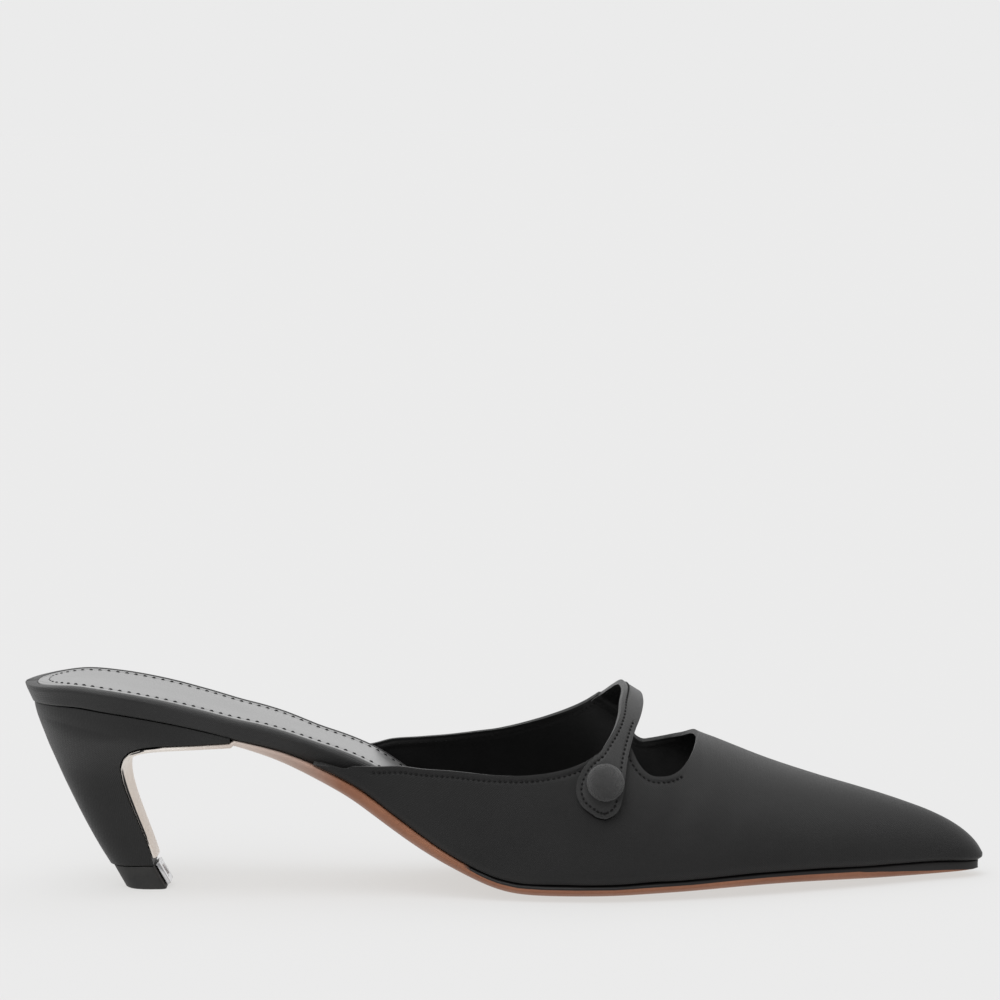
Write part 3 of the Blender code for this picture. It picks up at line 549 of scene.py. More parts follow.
def broad_sun(name, strength, spread, tilt, turn):
    """A soft source: tilt from overhead, turn about Z with 0 coming from the camera's side."""
    data = bpy.data.lights.new(name, "SUN")
    data.energy = strength
    data.angle = math.radians(spread)
    made = bpy.data.objects.new(name, data)
    bpy.context.scene.collection.objects.link(made)
    made.rotation_euler = (math.radians(tilt), 0, math.radians(turn))


broad_sun("key_light", KEY_STRENGTH, 45, 42, -18)
broad_sun("top_light", TOP_STRENGTH, 32, 12, -40)
broad_sun("fill_light", FILL_STRENGTH, 90, 55, -35)

# %% [markdown]
# ## Finishes
# Each finish is a small tree of nodes. The satin is a fine twill: two crossed sets of threads, read from
# the piece's own UV map, lift the surface a little, and a slow noise changes the depth of the dye and the
# gloss. Numbers that don't vary sit on the shader's own sockets.

# %% Helpers for materials


class Finish:
    """A material with the few kinds of node that its tree is made of."""

    def __init__(self, name, **sockets):
        self.material = bpy.data.materials.new(name)
        self.material.use_nodes = True
        self.tree = self.material.node_tree
        self.shader = self.tree.nodes["Principled BSDF"]
        set_sockets(self.shader, **sockets)
        coordinates = self.tree.nodes.new("ShaderNodeTexCoord")
        self.uv, self.place = coordinates.outputs["UV"], coordinates.outputs["Object"]

    def feed(self, socket, source):
        """Links a source to a socket, or sets a plain value there."""
        if isinstance(source, bpy.types.NodeSocket):
            self.tree.links.new(source, socket)
        else:
            socket.default_value = source

    def node(self, kind, *sources, **sockets):
        """A node whose first sockets are fed by sources."""
        made = self.tree.nodes.new("ShaderNode" + kind)
        for socket, source in zip(made.inputs, sources):
            self.feed(socket, source)
        set_sockets(made, **sockets)
        return made

    def noise(self, scale, detail=3.0, roughness=0.55):
        texture = self.node("TexNoise", self.place, Scale=scale, Detail=detail, Roughness=roughness)
        return texture.outputs["Fac"]

    def pores(self, scale):
        return self.node("TexVoronoi", self.place, Scale=scale).outputs["Distance"]

    def threads(self, place, pitch, turn):
        """Ridges of parallel threads, a pitch apart, turned by an angle."""
        turned = self.node("Mapping", place, Rotation=(0, 0, math.radians(turn)))
        wave = self.node("TexWave", turned.outputs[0], Scale=1 / pitch / 20 * 2 * math.pi)
        set_sockets(wave, Distortion=0.6, Detail=1.0, Detail_Scale=2.0)
        return wave.outputs["Fac"]

    def attribute(self, name):
        node = self.node("Attribute")
        node.attribute_name = name
        return node.outputs["Fac"]

    def worked(self, operation, first, second):
        node = self.node("Math", first, second)
        node.operation = operation
        return node.outputs[0]

    def blend(self, *parts):
        """The sum of sources, each times its share."""
        shares = [self.worked("MULTIPLY", source, share) for source, share in parts]
        total = shares[0]
        for share in shares[1:]:
            total = self.worked("ADD", total, share)
        return total

    def ramp(self, source, *stops):
        """Two stops, each a place and a colour, or one number for a grey."""
        node = self.node("ValToRGB", source)
        for element, (place, colour) in zip(node.color_ramp.elements, stops):
            element.position = place
            element.color = (*colour, 1) if isinstance(colour, tuple) else (colour, colour, colour, 1)
        return node.outputs[0]

    def mix(self, share, first, second):
        node = self.node("Mix", share)
        node.data_type = "RGBA"
        self.feed(node.inputs[6], first)
        self.feed(node.inputs[7], second)
        return node.outputs[2]

    def colour(self, source, *stops):
        self.feed(self.shader.inputs["Base Color"], self.ramp(source, *stops))

    def gloss(self, source, low, high):
        spread = self.node("MapRange", source, To_Min=low, To_Max=high)
        self.feed(self.shader.inputs["Roughness"], spread.outputs[0])

    def bump(self, height, distance, strength):
        node = self.node("Bump", Distance=distance, Strength=strength)
        self.feed(node.inputs["Height"], height)
        self.feed(self.shader.inputs["Normal"], node.outputs["Normal"])


# %% Satin
TWILL_PITCH = 0.00042
TWILL_TURN = 38
WARP_PITCH = 0.00085
GLOSS_SPREAD = 0.16


def satin(name, dark, light, roughness, sheen, use_uv=True):
    cloth = Finish(name, Roughness=roughness, Specular_IOR_Level=0.33)
    set_sockets(cloth.shader, Sheen_Weight=sheen, Sheen_Roughness=0.45)
    place = cloth.uv if use_uv else cloth.place
    slow, fine = cloth.noise(55.0, 4.0), cloth.noise(1900.0, 3.0, 0.7)
    twill, warp = cloth.threads(place, TWILL_PITCH, TWILL_TURN), cloth.threads(place, WARP_PITCH, 0)
    cloth.colour(cloth.blend((slow, 0.5), (fine, 0.5)), (0.36, dark), (0.64, light))
    cloth.gloss(cloth.blend((slow, 0.4), (fine, 0.6)), roughness - GLOSS_SPREAD, roughness + GLOSS_SPREAD)
    cloth.bump(cloth.blend((twill, 0.55), (warp, 0.15), (fine, 0.6)), 0.00010, 0.9)
    return cloth


upper_satin = satin("black_satin", 0.003, 0.0085, 0.54, 0.08)
# Strap and button: the upper's satin, lighter as painted light where they face up into the light.
strap_cloth_painted_light = satin("strap_satin", 0.015, 0.032, 0.5, 0.15)
button_cloth_painted_light = satin("button_satin", 0.020, 0.042, 0.46, 0.2)
# Footbed and heel: the same satin, lighter than the upper's as painted light on these parts.
footbed_cloth_painted_light = satin("footbed_satin", 0.012, 0.023, 0.52, 0.15)
heel_cloth_painted_light = satin("heel_satin", 0.008, 0.016, 0.53, 0.12, use_uv=False)

# %% Lining, thread and rubber
lining = Finish("black_lining", Roughness=0.36, Specular_IOR_Level=0.3)
slow = lining.noise(80.0)
lining.colour(slow, (0.3, 0.0015), (0.7, 0.003))
lining.gloss(slow, 0.36, 0.5)
lining.bump(lining.pores(1500.0), 0.00004, 0.6)


def thread_finish(name, low, high):
    thread = Finish(name, Roughness=0.8, Specular_IOR_Level=0.2)
    twist = thread.noise(2600.0, 2.0)
    thread.colour(twist, (0.3, low), (0.7, high))
    thread.bump(twist, 0.00005, 0.7)
    return thread


black_thread = thread_finish("black_thread", 0.004, 0.011)
sock_thread = thread_finish("sock_thread", 0.004, 0.012)

rubber = Finish("black_rubber", Roughness=0.55, Specular_IOR_Level=0.4)
slow, fine = rubber.noise(160.0, 4.0), rubber.noise(900.0, 5.0, 0.65)
rubber.colour(rubber.blend((slow, 0.6), (fine, 0.4)), (0.35, 0.018), (0.7, (0.036, 0.035, 0.033)))
rubber.gloss(fine, 0.45, 0.7)
rubber.bump(fine, 0.00008, 0.6)

# %% Leathers and metal
silver_leather = Finish("silver_leather", Roughness=0.3, Metallic=0.45, Coat_Weight=0.25, Coat_Roughness=0.22)
slow, fine = silver_leather.noise(30.0, 4.0), silver_leather.noise(1400.0, 4.0, 0.6)
silver_leather.colour(silver_leather.blend((slow, 0.75), (fine, 0.25)), (0.35, 0.20), (0.65, 0.29))
silver_leather.gloss(slow, 0.26, 0.42)
silver_leather.bump(silver_leather.blend((silver_leather.pores(1100.0), 1.0), (fine, 0.8)), 0.00005, 0.5)

# Tan leather with a painted edge; the breast of the heel is paler. Both masks are the piece's own attributes.
sole_leather = Finish("leather_sole", Roughness=0.5, Specular_IOR_Level=0.3)
slow, fine = sole_leather.noise(45.0, 5.0), sole_leather.noise(1200.0, 4.0, 0.6)
scuff = sole_leather.noise(260.0, 6.0, 0.75)
tone = sole_leather.blend((slow, 0.7), (fine, 0.3))
tan = sole_leather.ramp(tone, (0.3, (0.22, 0.088, 0.048)), (0.7, (0.34, 0.150, 0.085)))
cream = sole_leather.ramp(tone, (0.3, (0.84, 0.77, 0.70)), (0.7, (0.93, 0.88, 0.82)))
body = sole_leather.mix(sole_leather.attribute("pale_breast"), tan, cream)
painted = sole_leather.ramp(sole_leather.attribute("painted_edge"), (0.70, 0.0), (0.80, 1.0))
coloured = sole_leather.mix(painted, body, (0.012, 0.011, 0.011, 1))
sole_leather.feed(sole_leather.shader.inputs["Base Color"], coloured)
sole_leather.gloss(scuff, 0.32, 0.6)
sole_leather.bump(sole_leather.worked("ADD", fine, scuff), 0.00005, 0.5)

steel = Finish("polished_steel", Roughness=0.22, Metallic=1.0)
fine = steel.noise(1500.0, 4.0, 0.7)
steel.colour(steel.noise(400.0, 3.0), (0.3, (0.60, 0.60, 0.61)), (0.7, (0.86, 0.86, 0.87)))
steel.gloss(fine, 0.12, 0.36)
steel.bump(fine, 0.00002, 0.4)
print("finishes:", len(bpy.data.materials))

# %% [markdown]
# ## Stitches
# A stitch is a short thread that dips at both ends. One is modelled from a small ball, drawn out and bent,
# and is then repeated along a line that lies a set distance inside an edge. All stitches of one seam are
# one mesh, because hundreds of separate objects would be slow and gain nothing.

# %% One stitch, repeated along a line
STITCH_RADIUS = 0.00030


def one_stitch(length, radius):
    """Points and faces of one stitch, lying along X with Z away from the cloth."""
    bpy.ops.object.select_all(action="DESELECT")
    bpy.ops.mesh.primitive_uv_sphere_add(segments=6, ring_count=5, radius=1)
    made = bpy.context.object
    in_edit(
        made,
        lambda: bpy.ops.transform.rotate(value=math.pi / 2, orient_axis="Y", center_override=(0, 0, 0)),
        lambda: bpy.ops.transform.resize(value=(length / 2, radius, radius), center_override=(0, 0, 0)),
    )
    points = points_of(made)
    points[:, 2] -= radius * 0.9 * (points[:, 0] / (length / 2)) ** 2
    faces = [tuple(face.vertices) for face in made.data.polygons]
    bpy.data.objects.remove(made)
    return points, faces


def spaced(path, out, pitch):
    """Reads a path, and the ways out of it, at even steps of its length."""
    length = run_along(path)
    count = max(2, int(round(length[-1] / pitch)))
    at = np.linspace(0, length[-1], count + 1)
    return [np.stack([np.interp(at, length, values[:, i]) for i in range(3)], 1) for values in (path, out)]


def unit(vectors):
    return vectors / np.maximum(1e-12, np.linalg.norm(vectors, axis=-1, keepdims=True))


def sew(name, path, out, pitch, thread, slot_name, share=0.68, radius=STITCH_RADIUS, lift=-0.1):
    """Sews along a path of points on the cloth; out holds the way away from the cloth at each."""
    points, faces = one_stitch(pitch * share, radius)
    places, ways = spaced(path, out, pitch)
    middle = (places[:-1] + places[1:]) / 2
    run = unit(places[1:] - places[:-1])
    up = unit((ways[:-1] + ways[1:]) / 2)
    up = unit(up - run * (up * run).sum(1, keepdims=True))
    over = np.cross(up, run)
    sewn = (
        middle[:, None]
        + points[None, :, 0:1] * run[:, None]
        + points[None, :, 1:2] * over[:, None]
        + (points[None, :, 2:3] + radius * lift) * up[:, None]
    )
    corners = [tuple(v + i * len(points) for v in face) for i in range(len(middle)) for face in faces]
    mesh = bpy.data.meshes.new(name)
    mesh.from_pydata(sewn.reshape(-1, 3).tolist(), [], corners)
    made = bpy.data.objects.new(name, mesh)
    bpy.context.scene.collection.objects.link(made)
    merged(made, 1e-8)
    finished(made, 60, [thread], slot_name)


# %% [markdown]
# ## The upper
# On the real shoe this is satin glued to a backing and a black lining, pulled over the last and cemented
# under its edge. It could be cut from a solid, but a thin wall shows best as a skin: one net for each side
# is laid on the last from the seam up to its top edge, the two are merged along the ridge in front of the
# cut-out, and Solidify gives the wall. Rows stand closer where the edge turns fast, and columns stand
# closer towards the edge, where the fold and the stitching need them.

# %% Rows and columns of the skin
UPPER_BACK = 0.302
TAPER_LENGTH = 0.040
TAPER_TO_WIDEST = 0.65
TAPER_POWER = 1.15
LEAST_TAPER = 0.03
LEAST_ANGLE = 0.05
THROAT = 0.703
UPPER_ROWS = 275
ROW_CROWDS = [
    # along, reach, how many times more rows
    (0.6965, 0.008, 5), (0.7017, 0.0013, 45), (0.634, 0.010, 3.5), (UPPER_BACK, 0.02, 1.5), (1.0, 0.012, 6),
]
EDGE_STEPS = np.array([0.0, 0.5, 0.9, 1.25, 1.6, 1.95, 2.35, 3.0, 4.0, 5.5]) / 1000
SIDE_COLUMNS = 20
UNDER_COLUMNS = 4
UNDER_SHARE = 0.65
FINE_ANGLES = 240


def upper_rows():
    along = np.linspace(UPPER_BACK, 1.0, 4001)
    crowd = sum((more * bell(along - place, reach) for place, reach, more in ROW_CROWDS), 1)
    total = np.concatenate([[0], np.cumsum((crowd[1:] + crowd[:-1]) / 2)])
    rows = np.interp(np.linspace(0, total[-1], UPPER_ROWS), total, along)
    rows[np.argmin(abs(rows - THROAT))] = THROAT
    return rows


def side_net(rows, side):
    """Places of one side's skin, from the seam to the top edge or the ridge."""
    net = []
    for along in rows:
        top = max(LEAST_ANGLE, float(edge_angle[side](along))) if along < THROAT else 90.0
        taper = (along - UPPER_BACK) / TAPER_LENGTH
        if taper < TAPER_TO_WIDEST:
            top = -90 + 90 * max(taper, LEAST_TAPER) / TAPER_TO_WIDEST
        elif taper < 1:
            top *= ((taper - TAPER_TO_WIDEST) / (1 - TAPER_TO_WIDEST)) ** TAPER_POWER
        past = max(0.0, taper / TAPER_TO_WIDEST - 1)
        under_end = min(0.0, -90 * (1 - UNDER_SHARE) * (1 - past))
        if top < 0:
            under_end = -90 + UNDER_SHARE * (top + 90)
        fine_angles = np.linspace(under_end, top, FINE_ANGLES)
        arc = run_along(on_last(along, side, fine_angles))
        near = EDGE_STEPS * min(1.0, arc[-1] / (2.2 * EDGE_STEPS[-1]))
        rest = np.linspace(0, arc[-1] - near[-1], SIDE_COLUMNS + 1)[:-1]
        above = np.interp(np.concatenate([rest, (arc[-1] - near)[::-1]]), arc, fine_angles)
        below = np.linspace(-90, under_end, UNDER_COLUMNS + 1)[:-1]
        net.append(on_last(along, side, np.concatenate([below, above])))
    return np.array(net)


# %% Seams inside the top edges
TOPLINE_INSET = 0.0017
TOPLINE_PITCH = 0.0015
CLOTH_BEND = 0.06
SEAM_POINTS = 900


def surface_way(along, side, angle):
    """The way out of the last, for arrays."""
    ahead = on_last(np.minimum(along + 0.001, 0.999), side, angle)
    behind = on_last(along - 0.001, side, angle)
    over = on_last(along, side, np.minimum(angle + 0.5, 89.9))
    under = on_last(along, side, np.maximum(angle - 0.5, 0.0))
    return unit(np.cross(ahead - behind, over - under) * -side)


def seam_line(side, start, end):
    """The line of a seam below the top edge, and the ways out of the cloth along it."""
    along = np.linspace(start, end, SEAM_POINTS)
    angle = edge_angle[side](along)
    line, way = on_last(along, side, angle), surface_way(along, side, np.minimum(angle, 89.5))
    step = unit(np.cross(way, unit(np.gradient(line, axis=0)))) * side
    return line + step * TOPLINE_INSET - way * (TOPLINE_INSET**2 / CLOTH_BEND), way


lateral_seam, lateral_way = seam_line(LATERAL, 0.362, 0.6785)
medial_seam, medial_way = seam_line(MEDIAL, 0.362, 0.6015)
medial_cut_seam, medial_cut_way = seam_line(MEDIAL, 0.6385, 0.680)

# %% [markdown]
# The cloth isn't perfectly even. A stitched line pulls it in a little, the edge outside it puffs up, and
# where the foot bends the shoe a few broad, shallow troughs run up from the sole. These are listed one by one
# in the shoe's own sizes and pressed into the skin before it gets its wall.

# %% Shape the skin
SOFT_TROUGHS = [
    # along, angle, lean of the trough in degrees from upright, length, width, depth in metres
    (0.668, 20.0, -14.0, 0.016, 0.0030, 0.00022),
    (0.684, 27.0, -18.0, 0.018, 0.0034, 0.00020),
    (0.640, 12.0, 8.0, 0.014, 0.0030, 0.00016),
    (0.588, 9.0, 12.0, 0.014, 0.0034, 0.00016),
    (0.545, 8.0, 20.0, 0.016, 0.0040, 0.00014),
    (0.735, 34.0, -30.0, 0.020, 0.0050, 0.00014),
]
STITCH_PULL = 0.00028
STITCH_REACH = 0.00046
RIPPLE = 0.00007
NEAR_LINE = 0.006
WALL_IN = UPPER_WALL - 0.0001


def distance_to(points, line):
    """Distance of each point to a line of points, and how far along the line it is nearest."""
    found = np.full(len(points), 1.0)
    place = np.zeros(len(points))
    length = run_along(line)
    low, high = line.min(0) - NEAR_LINE, line.max(0) + NEAR_LINE
    near = np.where(((points > low) & (points < high)).all(1))[0]
    for start in range(0, len(near), 2000):
        some = near[start : start + 2000]
        apart = np.linalg.norm(points[some, None] - line[None], axis=2)
        best = apart.argmin(1)
        found[some] = apart[np.arange(len(some)), best]
        place[some] = length[best]
    return found, place


def stitch_pull(points, line, pitch, depth, reach):
    """How far a stitched line pulls the cloth in, a little more under each stitch."""
    apart, place = distance_to(points, line)
    return depth * bell(apart, reach) * (0.75 + 0.25 * np.cos(2 * np.pi * place / pitch))


def press_skin(made):
    points, ways = points_of(made), points_of(made, "normal")
    depth = np.zeros(len(points))
    for side in (LATERAL, MEDIAL):
        own = points[:, 1] * side > 0
        for along, angle, lean, length, width, dip in SOFT_TROUGHS:
            turn = math.radians(lean)
            away = points - on_last(along, side, angle)
            across = away[:, 0] * math.cos(turn) + away[:, 2] * math.sin(turn)
            up = -away[:, 0] * math.sin(turn) + away[:, 2] * math.cos(turn)
            ridge = 0.6 * bell(across - 1.9 * width, 1.3 * width)
            depth[own] -= (dip * (bell(across, width) - ridge) * bell(up, length))[own]
    for line in (lateral_seam, medial_seam, medial_cut_seam):
        depth -= stitch_pull(points, line, TOPLINE_PITCH, STITCH_PULL, STITCH_REACH)
    for index, point in enumerate(points):
        place = Vector(point)
        depth[index] += RIPPLE * noise.noise(place * 85) + 0.5 * RIPPLE * noise.noise(place * 230)
    move_points(made, points + ways * depth[:, None])


rows = upper_rows()
lateral_half = lay_grid("lateral_half", side_net(rows, LATERAL))
upper = lay_grid("satin_upper", side_net(rows, MEDIAL))
pick(lateral_half, upper)
bpy.ops.object.join()
merged(upper, 3e-6)
face_up(upper)
press_skin(upper)
walled(upper, [upper_satin, lining], WALL_IN, 0.00042)
finished(upper, 70, [], "black_satin", "upper")

# %% Stitches along the top edges, outside and inside
for name, line, way in (
    ("topline_stitches_lateral", lateral_seam, lateral_way),
    ("topline_stitches_medial", medial_seam, medial_way),
    ("cut_out_stitches_medial", medial_cut_seam, medial_cut_way),
    ("lining_stitches_lateral", lateral_seam - lateral_way * WALL_IN, -lateral_way),
    ("lining_stitches_medial", medial_seam - medial_way * WALL_IN, -medial_way),
):
    sew(name, line, way, TOPLINE_PITCH, black_thread, "black_satin")

# %% [markdown]
# ## The strap
# A narrow strip of folded satin carries on from the inner quarter, crosses the instep and widens into a
# round tab on the outer side. It lies level with the quarter where it starts and over the quarter where it
# buttons. Its net follows the tab's outline, and the edge is rounded off as a fold is.

# %% Strap net
STRAP_END = -75.05
TAB_START = -66.0
TUCK_START, TUCK_REACH, TUCK_DEPTH = 34.0, 4.0, 0.0003
STRAP_COLUMNS = 44


def strap_edges(across):
    """Rear and front edge of the strap; past the last row of its table the tab closes in a round."""
    last, last_rear, last_front = STRAP_RUN[-1]
    rear, front = strap_rear(across), strap_front(across)
    middle = 0.5 * (last_rear + last_front)
    closing = np.clip((last - across) / (last - STRAP_END), 0, 1)
    closing = 1 - np.sqrt(np.maximum(0, 1 - closing**2))
    return rear + (middle - rear) * closing, front + (middle - front) * closing


def strap_lift(across):
    """How far the strap stands off the last: level with the quarter at its root, over it at the tab."""
    share = np.clip((90.0 - STRAP_ROOT - across) / STRAP_RAMP, 0, 1)
    share = share * share * (3 - 2 * share)
    return share * (STRAP_THICKNESS + CLOSE_FIT) - TUCK_DEPTH * rising(across, TUCK_START, TUCK_REACH)


def on_strap(along, across, lift=None):
    """Points over the last counted across its ridge, lifted off it."""
    along, across = np.broadcast_arrays(np.asarray(along, float), np.asarray(across, float))
    inner = on_last(along, MEDIAL, 90 - abs(across))
    outer = on_last(along, LATERAL, 90 - abs(across))
    base = np.where((across > 0)[..., None], inner, outer)
    if lift is None:
        return base
    return base + strap_way(along, across) * np.asarray(lift)[..., None]


def strap_way(along, across):
    ahead = on_strap(along + 0.0015, across)
    behind = on_strap(along - 0.0015, across)
    over = on_strap(along, across + 1.5)
    under = on_strap(along, across - 1.5)
    return unit(np.cross(ahead - behind, over - under))


def strap_stations():
    body = np.linspace(STRAP_RUN[0][0] - 0.2, TAB_START, 126)
    tab = TAB_START + (STRAP_END - TAB_START) * np.sin(np.linspace(0, np.pi / 2, 46))[1:]
    return np.concatenate([body, tab])


def strap_outline(inset):
    """A line inside the strap's edge, rear side from the root round the tab and back along the front."""
    rear, front = strap_edges(stations)
    along = np.concatenate([rear, front[::-1]])
    across = np.concatenate([stations, stations[::-1]])
    line = on_strap(along, across, strap_lift(across))
    way = strap_way(along, across)
    for _ in range(6):
        way[1:-1] = unit(way[:-2] + 2 * way[1:-1] + way[2:])
    step = unit(np.cross(unit(np.gradient(line, axis=0)), way))
    at = np.argmin(abs(stations + 60))
    if np.dot(step[at], on_strap(0.6, -60.0) - line[at]) < 0:
        step = -step
    return line + step * inset, way


# %% Make the strap
STRAP_INSET = 0.0014
STRAP_PITCH = 0.0014
STRAP_PULL = 0.00024
STRAP_REACH = 0.00042
FRONT_STITCH_END = 34.0
SKIPPED_STATIONS = 6
ROOT_STATIONS = 120
PLY_LINES = (0.00048, 0.00088)
PLY_DEPTH = 0.00010
PLY_WIDTH = 0.00015

stations = strap_stations()
rear, front = strap_edges(stations)
shares = 0.5 - 0.5 * np.cos(np.linspace(0, np.pi, STRAP_COLUMNS))
shares = 0.35 * shares + 0.65 * np.linspace(0, 1, STRAP_COLUMNS)
strap_along = rear[:, None] + (front - rear)[:, None] * shares[None]
strap_across = np.repeat(stations[:, None], STRAP_COLUMNS, 1)
strap = lay_grid("satin_strap", on_strap(strap_along, strap_across, strap_lift(strap_across)))
merged(strap, 1e-7)
face_up(strap)
line, way = strap_outline(STRAP_INSET)
front_end = len(line) - np.searchsorted(-stations, FRONT_STITCH_END)
line, way = line[SKIPPED_STATIONS:front_end], way[SKIPPED_STATIONS:front_end]
points, ways = points_of(strap), points_of(strap, "normal")
dip = -stitch_pull(points, line, STRAP_PITCH, STRAP_PULL, STRAP_REACH)
tab_edge = strap_outline(0.0)[0][ROOT_STATIONS:-ROOT_STATIONS]
from_edge, _ = distance_to(points, tab_edge)
for ply in PLY_LINES:
    dip -= PLY_DEPTH * bell(from_edge - ply, PLY_WIDTH)
move_points(strap, points + ways * dip[:, None])
walled(strap, [strap_cloth_painted_light, lining], STRAP_THICKNESS - 0.0001, 0.0005)
finished(strap, 70, [], "strap_satin", "strap")
sew("strap_stitches", line, way, STRAP_PITCH, black_thread, "strap_satin")

# %% [markdown]
# ## The button
# A round shell covered with the same satin, gathered under its rim. It starts as a ball, is pressed into a
# low dome, and its rim is rolled under. Fine gathers run in from the underside.

# %% Make the button
BUTTON_ALONG = 0.6005
BUTTON_ACROSS = -64.3
BUTTON_RADIUS = 0.0052
BUTTON_RISE = 0.0038
BUTTON_LIFT = 0.0005
BUTTON_GATHERS = 26
BUTTON_RIM = 0.36

bpy.ops.object.select_all(action="DESELECT")
bpy.ops.mesh.primitive_uv_sphere_add(segments=104, ring_count=52, radius=1)
button = bpy.context.object
button.name = button.data.name = "satin_button"
ball = points_of(button)
out = np.linalg.norm(ball[:, :2], axis=1)
angle = np.arctan2(ball[:, 1], ball[:, 0])
dome = BUTTON_RIM + np.where(ball[:, 2] >= 0, 1 - BUTTON_RIM, BUTTON_RIM) * ball[:, 2]
gather = 1 + 0.012 * np.cos(BUTTON_GATHERS * angle) * (1 - rising(dome, 0.1, 0.5)) * out
shell = np.column_stack([ball[:, :2] * gather[:, None] * BUTTON_RADIUS, dome * BUTTON_RISE])
button_way = strap_way(np.array([BUTTON_ALONG]), np.array([BUTTON_ACROSS]))[0]
button_seat = on_strap(BUTTON_ALONG, BUTTON_ACROSS)
button_seat = button_seat + button_way * (float(strap_lift(BUTTON_ACROSS)) + BUTTON_LIFT)
first = unit(np.cross(button_way, (0, 0, 1)))
second = np.cross(button_way, first)
move_points(button, button_seat + shell @ np.array([first, second, button_way]))
merged(button, 1e-7)
finished(button, 60, [button_cloth_painted_light], "button_satin", "button")

# %% [markdown]
# ## Footbed and sock
# The footbed is a shaped board wrapped in satin, whose rim shows all round the seat. A silver leather sock
# lies in a shallow recess in it, stitched near its edge. Both are lofted: a ring of points is worked out
# at each station and the net is closed round and at its ends.

# %% Footbed rings
BED_SLANT = 0.0013
BED_BACK_LEAN = 0.0021
RECESS_DEPTH = 0.0009
RIM_ROLL = 0.00018


def bed_stations(start, end):
    """Stations that crowd towards both round ends."""
    share = np.linspace(0, 1, 190)
    eased = share - np.sin(2 * np.pi * share) / (2 * np.pi)
    return start + (end - start) * (0.45 * share + 0.55 * eased)


def corner(wide, tall, soft, turns):
    """Points round a soft upper edge."""
    around = np.radians(turns)
    return list(zip(wide - soft * (1 - np.cos(around)), tall - soft * (1 - np.sin(around))))


def bed_ring(along):
    under, over = float(bed_under(along)), float(bed_top(along))
    tall = over - under
    lean = BED_BACK_LEAN * max(0.0, 1 - along / 0.1)
    halves = []
    for side in (LATERAL, MEDIAL):
        wide = float(bed_half(along, side))
        low = wide - BED_SLANT * min(1.0, wide / (0.3 * SEAT_WIDTH))
        slant = wide - low
        soft = min(0.0013, wide * 0.4, tall * 0.4)
        ledge = 0.0
        if BED_LEDGE / LENGTH < along < SOCK_FRONT:
            ledge = float(bed_half(along, side, BED_LEDGE - FIT))
        ledge = min(ledge, max(0.0, wide - soft * 1.6))
        depth = RECESS_DEPTH * min(1.0, ledge / 0.003)
        rim = max(0.0, wide - soft - ledge)
        section = [(0.0, 0.0), (0.55 * low, 0.0), (low - 0.7 * soft, 0.0), (low - 0.2 * soft, 0.12 * soft)]
        section += [(low, 0.5 * soft), (low + 0.35 * slant, 0.35 * tall)]
        section += [(low + 0.75 * slant, 0.7 * tall), (wide, tall - 1.05 * soft)]
        section += corner(wide, tall, soft, (20, 40, 60, 78, 90))
        section += [(ledge + share * rim, tall + RIM_ROLL) for share in (0.66, 0.33)]
        section += [(ledge + min(0.0006, 0.2 * rim), tall), (ledge + min(0.0002, 0.1 * rim), tall - 0.0001)]
        section += [(ledge * share, tall - depth) for share in (1.0, 0.5, 0.0)]
        halves.append([
            (along_to_x(along) + lean * max(0.0, 1 - up_by / tall), side * max(0.0, out_by), under + up_by)
            for out_by, up_by in section
        ])
    return halves[0] + halves[1][::-1]


bed_rows = bed_stations(0.0004, BED_FRONT - 0.0006)
footbed = ring_loft("satin_footbed", np.array([bed_ring(along) for along in bed_rows]))
finished(footbed, 50, [footbed_cloth_painted_light], "footbed_satin", "footbed")

# %% Sock
SOCK_STITCH_INSET = 0.0032
SOCK_PITCH = 0.0026
SOCK_THICKNESS = 0.0007
SOCK_PUFF = 0.00015
SOCK_PULL, SOCK_REACH = 0.00022, 0.00042
SOCK_COLUMNS = np.array([1.1, 1.7, 2.2, 2.6, 2.9, 3.2, 3.5, 3.8, 4.4, 5.5, 7.5]) / 1000
FULL_WIDE = 0.0085


def sock_ring(along):
    floor_height = float(bed_top(along)) - RECESS_DEPTH + FIT
    halves = []
    for side in (LATERAL, MEDIAL):
        wide = float(bed_half(along, side, BED_LEDGE, SOCK_FRONT + BED_LEDGE / LENGTH))
        soft = min(0.0005, 0.4 * wide)
        section = [(0.0, 0.0), (0.6 * wide, 0.0), (wide - 0.3 * soft, 0.0), (wide, 0.3 * soft)]
        section += corner(wide, SOCK_THICKNESS, soft, (0, 30, 60, 90))
        share = min(1.0, wide / FULL_WIDE)
        dip = SOCK_PULL * bell(SOCK_COLUMNS - SOCK_STITCH_INSET, SOCK_REACH)
        puff = SOCK_PUFF * (1 - bell(np.maximum(0.0, SOCK_COLUMNS - SOCK_STITCH_INSET), 0.0035))
        out_by = np.maximum(0.0, max(0.0, wide - soft) - (SOCK_COLUMNS - soft) * share)
        section += zip(out_by, SOCK_THICKNESS - (dip - puff) * share)
        section += [(out_by[-1] * rest, SOCK_THICKNESS + SOCK_PUFF * share) for rest in (0.66, 0.33, 0.0)]
        halves.append([(along_to_x(along), side * across, floor_height + up) for across, up in section])
    return halves[0] + halves[1][::-1]


sock_rows = bed_stations(BED_LEDGE / LENGTH + 0.0006, SOCK_FRONT - 0.0008)
sock = ring_loft("silver_sock", np.array([sock_ring(along) for along in sock_rows]))
finished(sock, 50, [silver_leather], "silver_leather", "insole")

# %% Stitches round the sock


